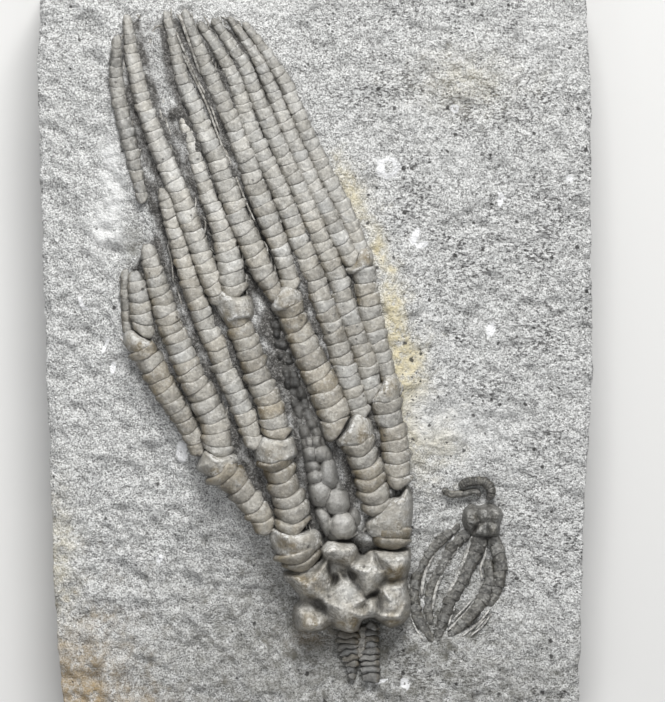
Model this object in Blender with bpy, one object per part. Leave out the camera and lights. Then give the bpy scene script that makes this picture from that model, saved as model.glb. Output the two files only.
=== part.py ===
"""A crinoid crown with its cup and stem stub, and a small crinoid beside it, on a slab of matrix.

Run with: blender --background --python part.py
Metres, +Z up. The slab lies on its sawn back, and the crown's arm tips point towards +Y.
Plan positions are written in millimetres from the slab's middle and turned into metres by MM.
"""

import math

import bmesh
import bpy
import numpy as np
from mathutils import Vector
from mathutils.bvhtree import BVHTree

MM = 0.001
COLLECTION = "crinoid_fossil"

# Slab of matrix, in millimetres.
SLAB = {"length": 120.0, "thickness": 18.0, "columns": 18, "rows": 24}
LEFT_EDGE = [(-60, -40.2), (-48, -41.3), (-36, -42.0), (0, -43.3), (29, -44.2), (45, -44.7), (60, -44.0)]
RIGHT_EDGE = [(-60, 42.3), (-46, 42.7), (-25, 43.3), (-5, 44.7), (14, 44.4), (43, 44.4), (60, 43.4)]

# Swells and hollows of the matrix: x, y, reach across, reach along, turn in degrees, height.
SWELLS = [
    (-9.0, 4.0, 17.0, 40.0, 15.0, 4.6),
    (-1.0, -20.0, 11.0, 14.0, 5.0, 2.0),
    (5.0, -42.0, 15.0, 10.0, 0.0, -2.4),
    (24.0, -34.0, 10.0, 15.0, -10.0, -1.8),
    (15.0, 4.0, 4.5, 20.0, 12.0, 1.6),
    (30.0, 32.0, 14.0, 18.0, 0.0, 0.9),
    (-37.0, -18.0, 7.0, 22.0, 0.0, 0.7),
    (-35.0, 26.0, 5.0, 13.0, 0.0, 0.8),
    (-20.0, -42.0, 14.0, 12.0, 30.0, -0.8),
]

GAP = 0.35          # clear space left between neighbouring pieces
SIDE_MARGIN = 0.17  # half of that, kept by each of two arms lying side by side
JOINT_PINCH = 0.88  # width at a joint, as a share of the width at a brachial's middle
BRACHIAL = 2.3      # length of one brachial along an arm

# Arms of the large crown, from base to tip: x, y, width.  A wide last knot but one is an axillary.
ARMS = {
    "left_ray_base": [(-1.3, -35.4, 4.8), (-2.0, -33.6, 6.6), (-3.3, -30.9, 7.2), (-5.2, -28.8, 4.6)],
    "left_inner_lower_arm": [(-3.2, -28.4, 5.2), (-4.1, -24.0, 4.8), (-5.3, -19.8, 4.5),
                             (-6.4, -16.6, 5.8), (-7.0, -14.3, 4.8)],
    "left_inner_upper_arm": [(-6.1, -13.3, 4.3), (-7.0, -9.0, 3.9), (-9.3, -3.0, 3.9), (-12.0, 4.2, 3.9),
                             (-13.1, 6.9, 5.0), (-13.9, 8.9, 4.2)],
    "left_arm_1": [(-15.0, 8.6, 2.6), (-16.6, 11.4, 2.8), (-17.9, 15.0, 2.9), (-20.5, 22.0, 2.9),
                   (-23.8, 30.0, 2.8), (-27.0, 38.0, 2.5), (-29.0, 46.0, 2.1), (-30.2, 53.8, 1.2)],
    "left_arm_2": [(-9.7, -14.8, 3.0), (-10.4, -12.2, 3.1), (-12.5, -7.0, 3.2), (-15.9, 1.0, 3.2),
                   (-18.4, 7.0, 3.0), (-21.1, 15.0, 2.7), (-24.3, 26.0, 2.0)],
    "left_arm_3": [(-12.5, 9.7, 3.5), (-13.2, 13.5, 3.4), (-14.8, 19.0, 2.9), (-17.1, 25.0, 2.4),
                   (-21.2, 37.4, 1.5)],
    "left_outer_lower_arm": [(-7.9, -28.4, 3.4), (-8.6, -26.4, 4.0), (-12.1, -21.7, 4.2),
                             (-15.2, -18.6, 5.6), (-16.6, -17.0, 5.0)],
    "left_outer_upper_arm": [(-18.5, -15.8, 2.8), (-19.7, -13.0, 3.2), (-24.4, -5.0, 3.9),
                             (-26.9, -0.8, 4.2), (-28.1, 1.4, 4.8), (-28.7, 2.8, 4.0)],
    "left_arm_4": [(-15.3, -16.2, 4.2), (-16.2, -11.0, 4.1), (-19.1, -5.0, 3.9), (-21.8, 1.0, 3.7),
                   (-24.1, 7.0, 3.3), (-26.8, 17.0, 2.2)],
    "left_arm_5": [(-27.1, 3.2, 3.0), (-27.7, 6.5, 3.3), (-28.9, 12.6, 2.2)],
    "left_arm_6": [(-29.8, 3.4, 1.6), (-30.2, 8.0, 1.7), (-30.3, 13.0, 1.2)],
    "left_arm_7": [(-27.3, 23.5, 1.6), (-29.4, 32.0, 2.1), (-31.6, 42.0, 2.1), (-31.8, 50.5, 1.4)],
    "middle_lower_arm": [(10.2, -26.0, 4.6), (9.6, -23.4, 4.6), (8.7, -20.0, 4.5), (7.4, -16.2, 4.7),
                         (6.6, -13.2, 5.2), (6.5, -11.2, 4.0)],
    "middle_upper_arm": [(3.6, -12.4, 4.2), (2.7, -9.0, 4.8), (-0.5, -2.0, 4.4), (-3.5, 5.0, 4.0),
                         (-4.4, 8.0, 4.9), (-4.9, 9.8, 4.2)],
    "middle_arm_1": [(-6.4, 9.5, 2.6), (-7.6, 11.4, 3.0), (-9.3, 15.0, 3.3), (-12.1, 21.0, 3.2),
                     (-15.2, 29.0, 2.9), (-18.4, 37.0, 2.5), (-21.3, 44.0, 2.1), (-23.9, 54.4, 1.1)],
    "middle_arm_2": [(-3.9, 10.5, 2.8), (-4.6, 13.0, 2.6), (-5.4, 16.0, 2.7), (-7.8, 22.0, 3.1),
                     (-10.8, 30.0, 2.9), (-13.9, 38.0, 2.6), (-17.2, 45.0, 2.2), (-21.0, 54.6, 1.2)],
    "middle_arm_3": [(7.2, -9.9, 3.2), (6.0, -7.0, 3.6), (3.0, 3.0, 3.3), (-2.6, 18.0, 3.0),
                     (-6.3, 27.0, 2.8), (-10.4, 36.0, 2.5), (-13.2, 44.0, 2.1), (-18.4, 52.7, 1.1)],
    "right_ray_base": [(12.4, -31.7, 5.0), (12.5, -29.6, 5.4), (13.0, -26.8, 4.8), (14.2, -23.0, 2.2)],
    "right_lower_arm": [(13.1, -20.9, 4.0), (13.0, -17.0, 4.2), (11.9, -11.0, 4.2), (11.2, -7.2, 4.9),
                        (10.9, -5.6, 4.0)],
    "right_upper_arm": [(11.8, -4.6, 2.4), (10.7, -1.0, 3.0), (9.2, 4.0, 3.6), (7.9, 11.4, 3.4),
                        (7.6, 14.0, 3.9), (7.4, 15.8, 3.2)],
    "right_arm_1": [(9.2, -6.7, 3.2), (8.1, -2.0, 3.5), (6.0, 4.0, 3.3), (3.3, 12.0, 3.1),
                    (0.0, 20.0, 2.9), (-4.0, 29.0, 2.7), (-8.2, 38.0, 2.4), (-11.6, 46.0, 2.0),
                    (-16.4, 53.1, 1.1)],
    "right_arm_2": [(5.9, 14.5, 2.8), (3.5, 19.0, 2.8), (0.5, 25.0, 2.7), (-3.3, 33.0, 2.5),
                    (-6.6, 41.0, 2.1), (-9.4, 47.0, 1.7), (-13.8, 53.5, 1.0)],
    "right_arm_3": [(7.0, 17.0, 2.3), (4.6, 22.6, 2.5), (1.8, 28.0, 2.5), (-2.0, 36.0, 2.3),
                    (-5.4, 44.0, 2.0), (-11.4, 52.6, 1.0)],
}
ANAL_SAC = [(4.3, -30.2, 3.6), (4.2, -27.0, 6.6), (1.8, -22.5, 5.4), (0.6, -17.0, 4.8), (-1.6, -10.0, 3.8),
            (-3.8, -4.0, 3.2), (-6.5, 5.0, 2.0)]

# Plates of the large cup: x, y, height of the middle above the bed, then the three half sizes.
CUP_PLATES = {
    "core": (5.8, -38.5, 3.4, 7.2, 3.6, 4.4),
    "left_basal": (-0.4, -42.4, 4.2, 2.9, 2.6, 3.8),
    "centre_basal": (4.9, -41.2, 5.6, 2.8, 3.8, 4.6),
    "right_basal": (12.6, -40.8, 4.4, 2.5, 3.2, 4.3),
    "middle_knob": (9.0, -40.6, 4.6, 1.3, 2.0, 3.4),
    "left_radial": (-1.0, -38.0, 4.6, 3.3, 2.4, 3.8),
    "middle_radial": (8.4, -35.6, 5.0, 2.2, 3.2, 4.2),
    "right_radial": (12.6, -34.9, 4.4, 2.4, 2.4, 3.8),
}
STEM_STUB = [(6.9, -45.8, 6.2), (7.2, -47.5, 6.6), (7.6, -50.0, 6.0), (8.0, -53.0, 4.6)]

# The small crinoid lies head down: arms run towards -Y from its cup.
SMALL_PLATES = {
    "body": (27.0, -27.3, 1.2, 2.7, 2.3, 2.3),
    "left_plate": (25.4, -26.6, 1.4, 1.4, 1.7, 2.1),
    "right_plate": (28.7, -26.6, 1.4, 1.3, 1.7, 2.1),
    "lower_plate": (26.6, -28.2, 1.4, 1.6, 1.5, 2.2),
}
SMALL_STEM = [(22.6, -22.9, 1.8), (23.9, -21.6, 2.4), (26.2, -20.9, 2.7), (27.8, -22.2, 2.6),
              (27.5, -23.8, 2.2)]
SMALL_ARMS = {
    "small_arm_1": [(28.8, -30.4, 1.3), (29.4, -34.0, 1.1), (29.0, -39.0, 1.0), (27.8, -41.6, 0.7)],
    "small_arm_2": [(27.5, -30.6, 1.5), (28.1, -35.0, 1.8), (26.6, -40.5, 1.6), (20.5, -46.5, 0.9)],
    "small_arm_3": [(26.1, -30.6, 1.3), (25.2, -34.2, 1.4), (22.2, -40.0, 1.4), (19.4, -46.3, 0.8)],
    "small_arm_4": [(24.7, -30.0, 1.3), (22.6, -32.6, 1.4), (20.1, -36.8, 1.3), (18.2, -41.6, 0.8)],
    "small_arm_5": [(23.0, -30.2, 1.0), (21.0, -33.0, 1.1), (19.4, -35.4, 0.8)],
    "small_arm_6": [(22.9, -28.7, 1.2), (19.4, -31.0, 1.4), (17.0, -36.0, 1.3), (16.8, -41.5, 1.2),
                    (18.4, -46.4, 0.8)],
}
SMALL_JOINT = 1.6

# Colours, linear, with a roughness each.
STONE = {
    "matrix": ((0.38, 0.375, 0.355), 0.9),
    "crinoid": ((0.20, 0.185, 0.155), 0.5),
    "dark_crinoid": ((0.085, 0.08, 0.075), 0.55),
}


def clear_scene():
    """Remove whatever the file opened with."""
    for thing in list(bpy.data.objects):
        bpy.data.objects.remove(thing, do_unlink=True)


def stone_material(name, stone):
    """A rough stone material, one for each piece."""
    colour, roughness = STONE[stone]
    material = bpy.data.materials.new(name)
    material.use_nodes = True
    shader = material.node_tree.nodes["Principled BSDF"]
    shader.inputs["Base Color"].default_value = (*colour, 1.0)
    shader.inputs["Roughness"].default_value = roughness
    shader.inputs["Metallic"].default_value = 0.0
    return material


def add_piece(name, bm, stone, collection):
    """Turn a bmesh in millimetres into a named object in metres."""
    bmesh.ops.recalc_face_normals(bm, faces=bm.faces)
    bmesh.ops.scale(bm, vec=(MM, MM, MM), verts=bm.verts)
    mesh = bpy.data.meshes.new(name)
    bm.to_mesh(mesh)
    bm.free()
    piece = bpy.data.objects.new(name, mesh)
    piece.data.materials.append(stone_material(name + "_stone", stone))
    collection.objects.link(piece)
    return piece


def bed_height(x, y):
    """Height of the matrix at a place, before it is cut into facets."""
    height = SLAB["thickness"]
    for cx, cy, across, along, turn, rise in SWELLS:
        cos_t, sin_t = math.cos(math.radians(turn)), math.sin(math.radians(turn))
        u = ((x - cx) * cos_t + (y - cy) * sin_t) / across
        v = ((y - cy) * cos_t - (x - cx) * sin_t) / along
        height += rise * math.exp(-u * u - v * v)
    return height


def edge_x(edge, y):
    """Where a long edge of the slab runs at this y."""
    return float(np.interp(y, [point[0] for point in edge], [point[1] for point in edge]))


def build_slab(collection):
    """A block with a swelling top, a flat sawn back and slightly leaning long edges."""
    bm = bmesh.new()
    bmesh.ops.create_grid(bm, x_segments=SLAB["columns"], y_segments=SLAB["rows"], size=0.5)
    for vert in bm.verts:
        y = vert.co.y * SLAB["length"]
        left, right = edge_x(LEFT_EDGE, y), edge_x(RIGHT_EDGE, y)
        x = left + (vert.co.x + 0.5) * (right - left)
        vert.co = (x, y, bed_height(x, y))
    top_faces = list(bm.faces)
    lower = bmesh.ops.extrude_face_region(bm, geom=top_faces)["geom"]
    lower_faces = [item for item in lower if isinstance(item, bmesh.types.BMFace)]
    for vert in {vert for face in lower_faces for vert in face.verts}:
        vert.co.z = 0.0
    bmesh.ops.dissolve_faces(bm, faces=lower_faces, use_verts=True)
    bmesh.ops.triangulate(bm, faces=bm.faces)
    bmesh.ops.recalc_face_normals(bm, faces=bm.faces)
    surface = BVHTree.FromBMesh(bm)
    add_piece("matrix_slab", bm, "matrix", collection)
    return surface


class Ground:
    """The slab's faceted top, asked for its height at a place."""

    def __init__(self, surface):
        self.surface = surface

    def height(self, x, y):
        hit = self.surface.ray_cast(Vector((x, y, 100.0)), Vector((0, 0, -1)))[0]
        return hit.z + GAP


class Strand:
    """A smooth route through knots of x, y and width."""

    def __init__(self, name, knots):
        self.name = name
        knots = np.array(knots, dtype=float)
        padded = np.vstack([2 * knots[0] - knots[1], knots, 2 * knots[-1] - knots[-2]])
        fine = []
        for a, b, c, d in zip(padded, padded[1:], padded[2:], padded[3:]):
            for t in np.linspace(0, 1, 16, endpoint=False):
                fine.append(0.5 * (2 * b + (c - a) * t + (2 * a - 5 * b + 4 * c - d) * t ** 2
                                   + (3 * b - a - 3 * c + d) * t ** 3))
        fine.append(knots[-1])
        self.points = np.array(fine)
        steps = np.hypot(*np.diff(self.points[:, :2], axis=0).T)
        self.travel = np.concatenate([[0], np.cumsum(steps)])
        self.length = self.travel[-1]

    def at(self, distance):
        """Place, unit heading and width at a distance from the base."""
        x, y, width = (float(np.interp(distance, self.travel, column)) for column in self.points.T)
        before, after = (np.array([np.interp(distance + step, self.travel, column)
                                   for column in self.points[:, :2].T]) for step in (-0.4, 0.4))
        heading = (after - before) / np.linalg.norm(after - before)
        return np.array([x, y]), heading, width

    def crowding(self, place):
        """Least distance to the route, in its own widths, after the side margin."""
        away = np.hypot(self.points[:, 0] - place[0], self.points[:, 1] - place[1])
        return float(np.min((away - SIDE_MARGIN) / self.points[:, 2]))


def free_reach(strand, others, place, side, wanted):
    """How far a strand may spread to one side before it meets a neighbour's share of the bed."""
    reach = wanted
    width = 2 * wanted
    for _ in range(40):
        spot = place + side * reach
        if all((reach + SIDE_MARGIN) / width <= other.crowding(spot) for other in others):
            break
        reach *= 0.94
    return reach


def ring_of_arm(bm, ground, place, lateral, reach_left, reach_right, depth):
    """A five-sided section: two feet on the bed, two flanks and a crest."""
    def corner(offset, share):
        x, y = place + lateral * offset
        return bm.verts.new((x, y, ground.height(x, y) + depth * share))
    return [corner(-0.8 * reach_left, 0.0), corner(-reach_left, 0.5), corner(0.0, 1.0),
            corner(reach_right, 0.5), corner(0.8 * reach_right, 0.0)]


def ring_of_stem(bm, ground, place, lateral, reach_left, reach_right, depth):
    """A section with two crests and the open lumen between them."""
    def corner(offset, share):
        x, y = place + lateral * offset
        return bm.verts.new((x, y, ground.height(x, y) + depth * share))
    return [corner(-0.9 * reach_left, 0.0), corner(-reach_left, 0.6), corner(-0.5 * reach_left, 1.0),
            corner(0.0, 0.35), corner(0.5 * reach_right, 1.0), corner(reach_right, 0.6),
            corner(0.9 * reach_right, 0.0)]


def build_strand(strand, others, ground, joint, stone, collection, section=ring_of_arm, depth_share=0.8):
    """Loft an arm as a row of swollen brachials, pinched at each joint."""
    bm = bmesh.new()
    count = max(2, round(strand.length / joint))
    rings = []
    for step in range(2 * count + 1):
        place, heading, width = strand.at(strand.length * step / (2 * count))
        swell = 1.0 if step % 2 else JOINT_PINCH
        if step in (0, 2 * count):
            swell = 0.7
        lateral = np.array([heading[1], -heading[0]])
        wanted = width * swell / 2
        reach_left = free_reach(strand, others, place, -lateral, wanted)
        reach_right = free_reach(strand, others, place, lateral, wanted)
        depth = (0.4 + depth_share * width) * swell
        rings.append(section(bm, ground, place, lateral, reach_left, reach_right, depth))
    for lower, upper in zip(rings, rings[1:]):
        for index in range(len(lower)):
            after = (index + 1) % len(lower)
            bm.faces.new([lower[index], lower[after], upper[after], upper[index]])
    bm.faces.new(rings[0])
    bm.faces.new(rings[-1])
    bmesh.ops.triangulate(bm, faces=bm.faces)
    return add_piece(strand.name, bm, stone, collection)


def plate(name, size, ground, collection, stone, detail):
    """One swollen plate of a cup."""
    x, y, lift, half_x, half_y, half_z = size
    bm = bmesh.new()
    bmesh.ops.create_icosphere(bm, subdivisions=detail, radius=1.0)
    bmesh.ops.scale(bm, vec=(half_x, half_y, half_z), verts=bm.verts)
    bmesh.ops.translate(bm, vec=(x, y, ground.height(x, y) + lift), verts=bm.verts)
    return add_piece(name, bm, stone, collection)


def build_cup(name, plates, ground, collection, workshop, stone, detail):
    """Plates joined into one body, with the underside settled just clear of the bed."""
    made = [plate(label, size, ground, workshop, stone, detail) for label, size in plates.items()]
    body = made[0]
    for extra in made[1:]:
        join = body.modifiers.new(extra.name, "BOOLEAN")
        join.operation, join.solver, join.object = "UNION", "EXACT", extra
    shape = bpy.data.meshes.new_from_object(body.evaluated_get(bpy.context.evaluated_depsgraph_get()))
    bm = bmesh.new()
    bm.from_mesh(shape)
    bmesh.ops.scale(bm, vec=(1 / MM, 1 / MM, 1 / MM), verts=bm.verts)
    for vert in bm.verts:
        vert.co.z = max(vert.co.z, ground.height(vert.co.x, vert.co.y))
    bmesh.ops.remove_doubles(bm, verts=bm.verts, dist=0.05)
    bmesh.ops.triangulate(bm, faces=bm.faces)
    for piece in made:
        bpy.data.objects.remove(piece, do_unlink=True)
    return add_piece(name, bm, stone, collection)


def new_collection(name):
    collection = bpy.data.collections.new(name)
    bpy.context.scene.collection.children.link(collection)
    return collection


def main():
    clear_scene()
    fossil = new_collection(COLLECTION)
    workshop = new_collection("cup_plates")
    surface = build_slab(fossil)
    ground = Ground(surface)

    crown = [Strand(name, knots) for name, knots in ARMS.items()]
    sac = Strand("anal_sac", ANAL_SAC)
    for strand in crown:
        others = [other for other in crown + [sac] if other is not strand]
        build_strand(strand, others, ground, BRACHIAL, "crinoid", fossil)
    build_strand(sac, crown, ground, BRACHIAL, "dark_crinoid", fossil, depth_share=0.5)
    build_cup("cup", CUP_PLATES, ground, fossil, workshop, "crinoid", 2)
    build_strand(Strand("stem_stub", STEM_STUB), [], ground, 1.0, "dark_crinoid", fossil,
                 section=ring_of_stem, depth_share=0.35)

    small = [Strand(name, knots) for name, knots in SMALL_ARMS.items()]
    for strand in small:
        others = [other for other in small if other is not strand]
        build_strand(strand, others, ground, SMALL_JOINT, "dark_crinoid", fossil)
    build_cup("small_cup", SMALL_PLATES, ground, fossil, workshop, "dark_crinoid", 2)
    build_strand(Strand("small_stem", SMALL_STEM), [], ground, 0.9, "dark_crinoid", fossil,
                 depth_share=0.7)

    bpy.data.collections.remove(workshop)


main()
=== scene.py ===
import math

import bpy
import numpy as np
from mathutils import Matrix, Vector


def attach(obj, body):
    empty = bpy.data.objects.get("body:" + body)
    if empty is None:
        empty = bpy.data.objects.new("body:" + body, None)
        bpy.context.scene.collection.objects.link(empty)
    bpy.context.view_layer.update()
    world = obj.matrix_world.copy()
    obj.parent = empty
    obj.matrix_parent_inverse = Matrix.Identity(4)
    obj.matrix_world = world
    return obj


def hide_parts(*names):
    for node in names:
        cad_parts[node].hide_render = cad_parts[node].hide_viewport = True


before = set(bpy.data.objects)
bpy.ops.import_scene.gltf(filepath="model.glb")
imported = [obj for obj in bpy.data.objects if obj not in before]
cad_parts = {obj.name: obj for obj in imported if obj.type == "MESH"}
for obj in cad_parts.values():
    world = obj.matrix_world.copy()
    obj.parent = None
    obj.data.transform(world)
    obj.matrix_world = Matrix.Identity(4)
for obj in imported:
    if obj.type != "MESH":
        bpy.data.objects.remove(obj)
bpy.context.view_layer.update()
mm = 0.001

print("frame loaded")


# shape helpers work in millimetres
def grainNoise(x, y, size, seed, stretch=1.0, turn=0.0):
    # smooth gradient noise over a plane, about -1 to 1; stretch lengthens it along the turned axis
    rng = np.random.default_rng(seed)
    angles = rng.uniform(0, 2 * math.pi, (256, 256))
    gradX, gradY = np.cos(angles), np.sin(angles)
    cosT, sinT = math.cos(math.radians(turn)), math.sin(math.radians(turn))
    u = (x * cosT + y * sinT) / (size * stretch) + 57.3
    v = (y * cosT - x * sinT) / size + 91.7
    u0, v0 = np.floor(u).astype(int), np.floor(v).astype(int)
    fu, fv = u - u0, v - v0
    su, sv = fu ** 3 * (fu * (fu * 6 - 15) + 10), fv ** 3 * (fv * (fv * 6 - 15) + 10)

    def corner(du, dv):
        i, j = (u0 + du) % 256, (v0 + dv) % 256
        return gradX[i, j] * (fu - du) + gradY[i, j] * (fv - dv)
    near = corner(0, 0) * (1 - su) + corner(1, 0) * su
    far = corner(0, 1) * (1 - su) + corner(1, 1) * su
    return 1.6 * (near * (1 - sv) + far * sv)


def softStep(value, low, high):
    t = np.clip((value - low) / (high - low), 0.0, 1.0)
    return t * t * (3 - 2 * t)


def blurGrid(grid, cells):
    # soft average of a height grid over so many cells
    steps = np.arange(-3 * cells, 3 * cells + 1)
    kernel = np.exp(-0.5 * (steps / cells) ** 2)
    kernel /= kernel.sum()
    padded = np.pad(grid, 3 * cells, mode="edge")
    for axis in (0, 1):
        padded = np.apply_along_axis(lambda line: np.convolve(line, kernel, "same"), axis, padded)
    return padded[3 * cells:-3 * cells, 3 * cells:-3 * cells]


def curvePoint(a, b, c, d, t):
    # a point of the smooth curve that runs from b to c, between a and d
    return 0.5 * (2 * b + (c - a) * t + (2 * a - 5 * b + 4 * c - d) * t ** 2
                  + (3 * b - a - 3 * c + d) * t ** 3)


def roundLoop(corners, steps=5):
    # a closed outline with its corners rounded off
    points = np.array(corners, dtype=float)
    before, after, afterNext = (np.roll(points, shift, axis=0) for shift in (1, -1, -2))
    shares = np.linspace(0, 1, steps, endpoint=False)
    return np.array([curvePoint(*four, t) for four in zip(before, points, after, afterNext) for t in shares])


def insideDepth(x, y, loop):
    # distance in from a closed outline; negative outside it
    nearest = np.full(np.shape(x), 1e9)
    inside = np.zeros(np.shape(x), dtype=bool)
    for (ax, ay), (bx, by) in zip(loop, np.roll(loop, -1, axis=0)):
        dx, dy = bx - ax, by - ay
        share = np.clip(((x - ax) * dx + (y - ay) * dy) / (dx * dx + dy * dy), 0, 1)
        nearest = np.minimum(nearest, np.hypot(x - ax - share * dx, y - ay - share * dy))
        if ay != by:
            inside ^= ((ay > y) != (by > y)) & (x < ax + (y - ay) * dx / dy)
    return np.where(inside, nearest, -nearest)


def dome(depth, reach):
    # 0 at an edge, rising along a quarter round to 1
    return np.sqrt(np.clip(1 - (1 - np.clip(depth / reach, 0, 1)) ** 2, 0, 1))


def smoothRoute(knots):
    # a fine smooth line through knots of x, y, width; returns its points and the distance to each
    knots = np.array(knots, dtype=float)
    padded = np.vstack([2 * knots[0] - knots[1], knots, 2 * knots[-1] - knots[-2]])
    shares = np.linspace(0, 1, 24, endpoint=False)
    fine = [curvePoint(*four, t) for four in zip(padded, padded[1:], padded[2:], padded[3:]) for t in shares]
    fine = np.array(fine + [knots[-1]])
    travel = np.concatenate([[0], np.cumsum(np.hypot(*np.diff(fine[:, :2], axis=0).T))])
    return fine, travel


def placeAlong(route, s):
    # x, y and width at a distance along a smooth route
    fine, travel = route
    return np.array([np.interp(s, travel, column) for column in fine.T])


def headingAlong(route, s, step):
    # unit direction of the route there, from a step before to a step after
    ahead = placeAlong(route, s + step)[:2] - placeAlong(route, s - step)[:2]
    return ahead / np.linalg.norm(ahead)


def ovalReach(x, y, cx, cy, across, along, turn):
    # squared distance from the middle of a turned oval, 1 at its edge
    cosT, sinT = math.cos(math.radians(turn)), math.sin(math.radians(turn))
    u = ((x - cx) * cosT + (y - cy) * sinT) / across
    v = ((y - cy) * cosT - (x - cx) * sinT) / along
    return u * u + v * v


def gridOver(low, high, cell):
    return np.meshgrid(np.arange(low[0], high[0], cell), np.arange(low[1], high[1], cell))


def tubeFaces(rings, size, start=0):
    # the skin of a tube of rings of points, with both ends capped
    faces = []
    for low in range(start, start + (rings - 1) * size, size):
        high = low + size
        faces += [(low + j, low + (j + 1) % size, high + (j + 1) % size, high + j) for j in range(size)]
    faces.append(tuple(range(start + size - 1, start - 1, -1)))
    faces.append(tuple(range(start + (rings - 1) * size, start + rings * size)))
    return faces


def addObject(name, data):
    made = bpy.data.objects.new(name, data)
    bpy.context.scene.collection.objects.link(made)
    return made


def meshPiece(name, verts, faces, smooth=True):
    # verts in millimetres, faces as index lists; the object stays at the origin
    mesh = bpy.data.meshes.new(name)
    mesh.from_pydata((np.asarray(verts) * mm).tolist(), [], faces)
    mesh.validate()
    mesh.polygons.foreach_set("use_smooth", [smooth] * len(mesh.polygons))
    return addObject(name, mesh)


def reliefPiece(name, x, y, top, under, shown):
    # a closed body whose upper skin is a height grid, kept where shown is true
    cell = shown[:-1, :-1] & shown[1:, :-1] & shown[:-1, 1:] & shown[1:, 1:]
    used = np.zeros(shown.shape, dtype=bool)
    for rows, columns in ((slice(0, -1), slice(0, -1)), (slice(1, None), slice(0, -1)),
                          (slice(0, -1), slice(1, None)), (slice(1, None), slice(1, None))):
        used[rows, columns] |= cell
    index = np.full(shown.shape, -1)
    index[used] = np.arange(used.sum())
    count = int(used.sum())
    a, b, c, d = index[:-1, :-1], index[:-1, 1:], index[1:, 1:], index[1:, :-1]
    quads = [np.column_stack([corner[cell] for corner in (a, b, c, d)]),
             np.column_stack([corner[cell] + count for corner in (d, c, b, a)])]
    wide = np.pad(cell, 1)
    for side, first, second in ((wide[:-2, 1:-1], a, b), (wide[2:, 1:-1], c, d),
                                (wide[1:-1, :-2], d, a), (wide[1:-1, 2:], b, c)):
        edge = cell & ~side
        p, q = first[edge], second[edge]
        quads.append(np.column_stack([p, p + count, q + count, q]))
    verts = np.vstack([np.column_stack([x[used], y[used], top[used]]),
                       np.column_stack([x[used], y[used], under[used]])])
    return meshPiece(name, verts, np.vstack(quads).tolist()), used


def paintRelief(piece, used, **labels):
    for label, values in labels.items():
        paint(piece, label, np.tile(values[used], 2))


def paint(piece, label, values):
    # a per-vertex value that the material reads by name
    layer = piece.data.attributes.new(label, "FLOAT", "POINT")
    layer.data.foreach_set("value", np.asarray(values, dtype=np.float32))


def finishPiece(piece, material, slotName, *nodes):
    piece.data.materials.clear()
    piece.data.materials.append(material)
    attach(piece, "root")
    if nodes:
        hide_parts(*nodes)


def newGroup(name, inputs, outputs):
    group = bpy.data.node_groups.new(name, "ShaderNodeTree")
    for label, kind, value in inputs:
        socket = group.interface.new_socket(label, in_out="INPUT", socket_type=kind)
        if value is not None:
            socket.default_value = value
    for label, kind in outputs:
        group.interface.new_socket(label, in_out="OUTPUT", socket_type=kind)
    return group, group.nodes.new("NodeGroupInput"), group.nodes.new("NodeGroupOutput")


def node(tree, kind, **values):
    made = tree.nodes.new(kind)
    for key, value in values.items():
        if key in made.inputs:
            made.inputs[key].default_value = value
        else:
            setattr(made, key, value)
    return made


def mathNode(tree, operation, first, second=None, clamp=False):
    made = tree.nodes.new("ShaderNodeMath")
    made.operation = operation
    made.use_clamp = clamp
    for socket, value in zip(made.inputs, (first, second)):
        if value is None:
            continue
        if isinstance(value, (int, float)):
            socket.default_value = value
        else:
            tree.links.new(value, socket)
    return made.outputs[0]


def times(tree, first, second, clamp=False):
    return mathNode(tree, "MULTIPLY", first, second, clamp)


def plus(tree, first, second, clamp=False):
    return mathNode(tree, "ADD", first, second, clamp)


def minus(tree, first, second):
    return mathNode(tree, "SUBTRACT", first, second)


def mixColour(tree, factor, first, second, blend="MIX"):
    made = tree.nodes.new("ShaderNodeMix")
    made.data_type = "RGBA"
    made.blend_type = blend
    for socket, value in ((made.inputs[0], factor), (made.inputs[6], first), (made.inputs[7], second)):
        if isinstance(value, (int, float)):
            socket.default_value = value
        elif isinstance(value, tuple):
            socket.default_value = (*value, 1.0)
        else:
            tree.links.new(value, socket)
    return made.outputs[2]


def rampNode(tree, value, low, high):
    made = tree.nodes.new("ShaderNodeMapRange")
    made.interpolation_type = "SMOOTHSTEP"
    made.inputs["From Min"].default_value = low
    made.inputs["From Max"].default_value = high
    tree.links.new(value, made.inputs["Value"])
    return made.outputs["Result"]


def attributeValue(tree, label):
    made = tree.nodes.new("ShaderNodeAttribute")
    made.attribute_name = label
    return made.outputs["Fac"]


def buildGrainGroup():
    # fine mineral grain: two sizes of noise, as a value round 0.5 and a height
    group, entry, result = newGroup(
        "mineralGrain",
        [("Vector", "NodeSocketVector", None), ("Size", "NodeSocketFloat", 1.0),
         ("Mix", "NodeSocketFloat", 0.5)],
        [("Value", "NodeSocketFloat")])
    scale = mathNode(group, "DIVIDE", 1000.0, entry.outputs["Size"])
    coarse = node(group, "ShaderNodeTexNoise", Detail=3.0, Roughness=0.6)
    fine = node(group, "ShaderNodeTexNoise", Detail=2.0, Roughness=0.65)
    for texture in (coarse, fine):
        group.links.new(entry.outputs["Vector"], texture.inputs["Vector"])
    group.links.new(scale, coarse.inputs["Scale"])
    group.links.new(times(group, scale, 3.7), fine.inputs["Scale"])
    blend = node(group, "ShaderNodeMix")
    group.links.new(entry.outputs["Mix"], blend.inputs[0])
    group.links.new(coarse.outputs["Fac"], blend.inputs[2])
    group.links.new(fine.outputs["Fac"], blend.inputs[3])
    group.links.new(blend.outputs[0], result.inputs["Value"])
    return group


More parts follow.
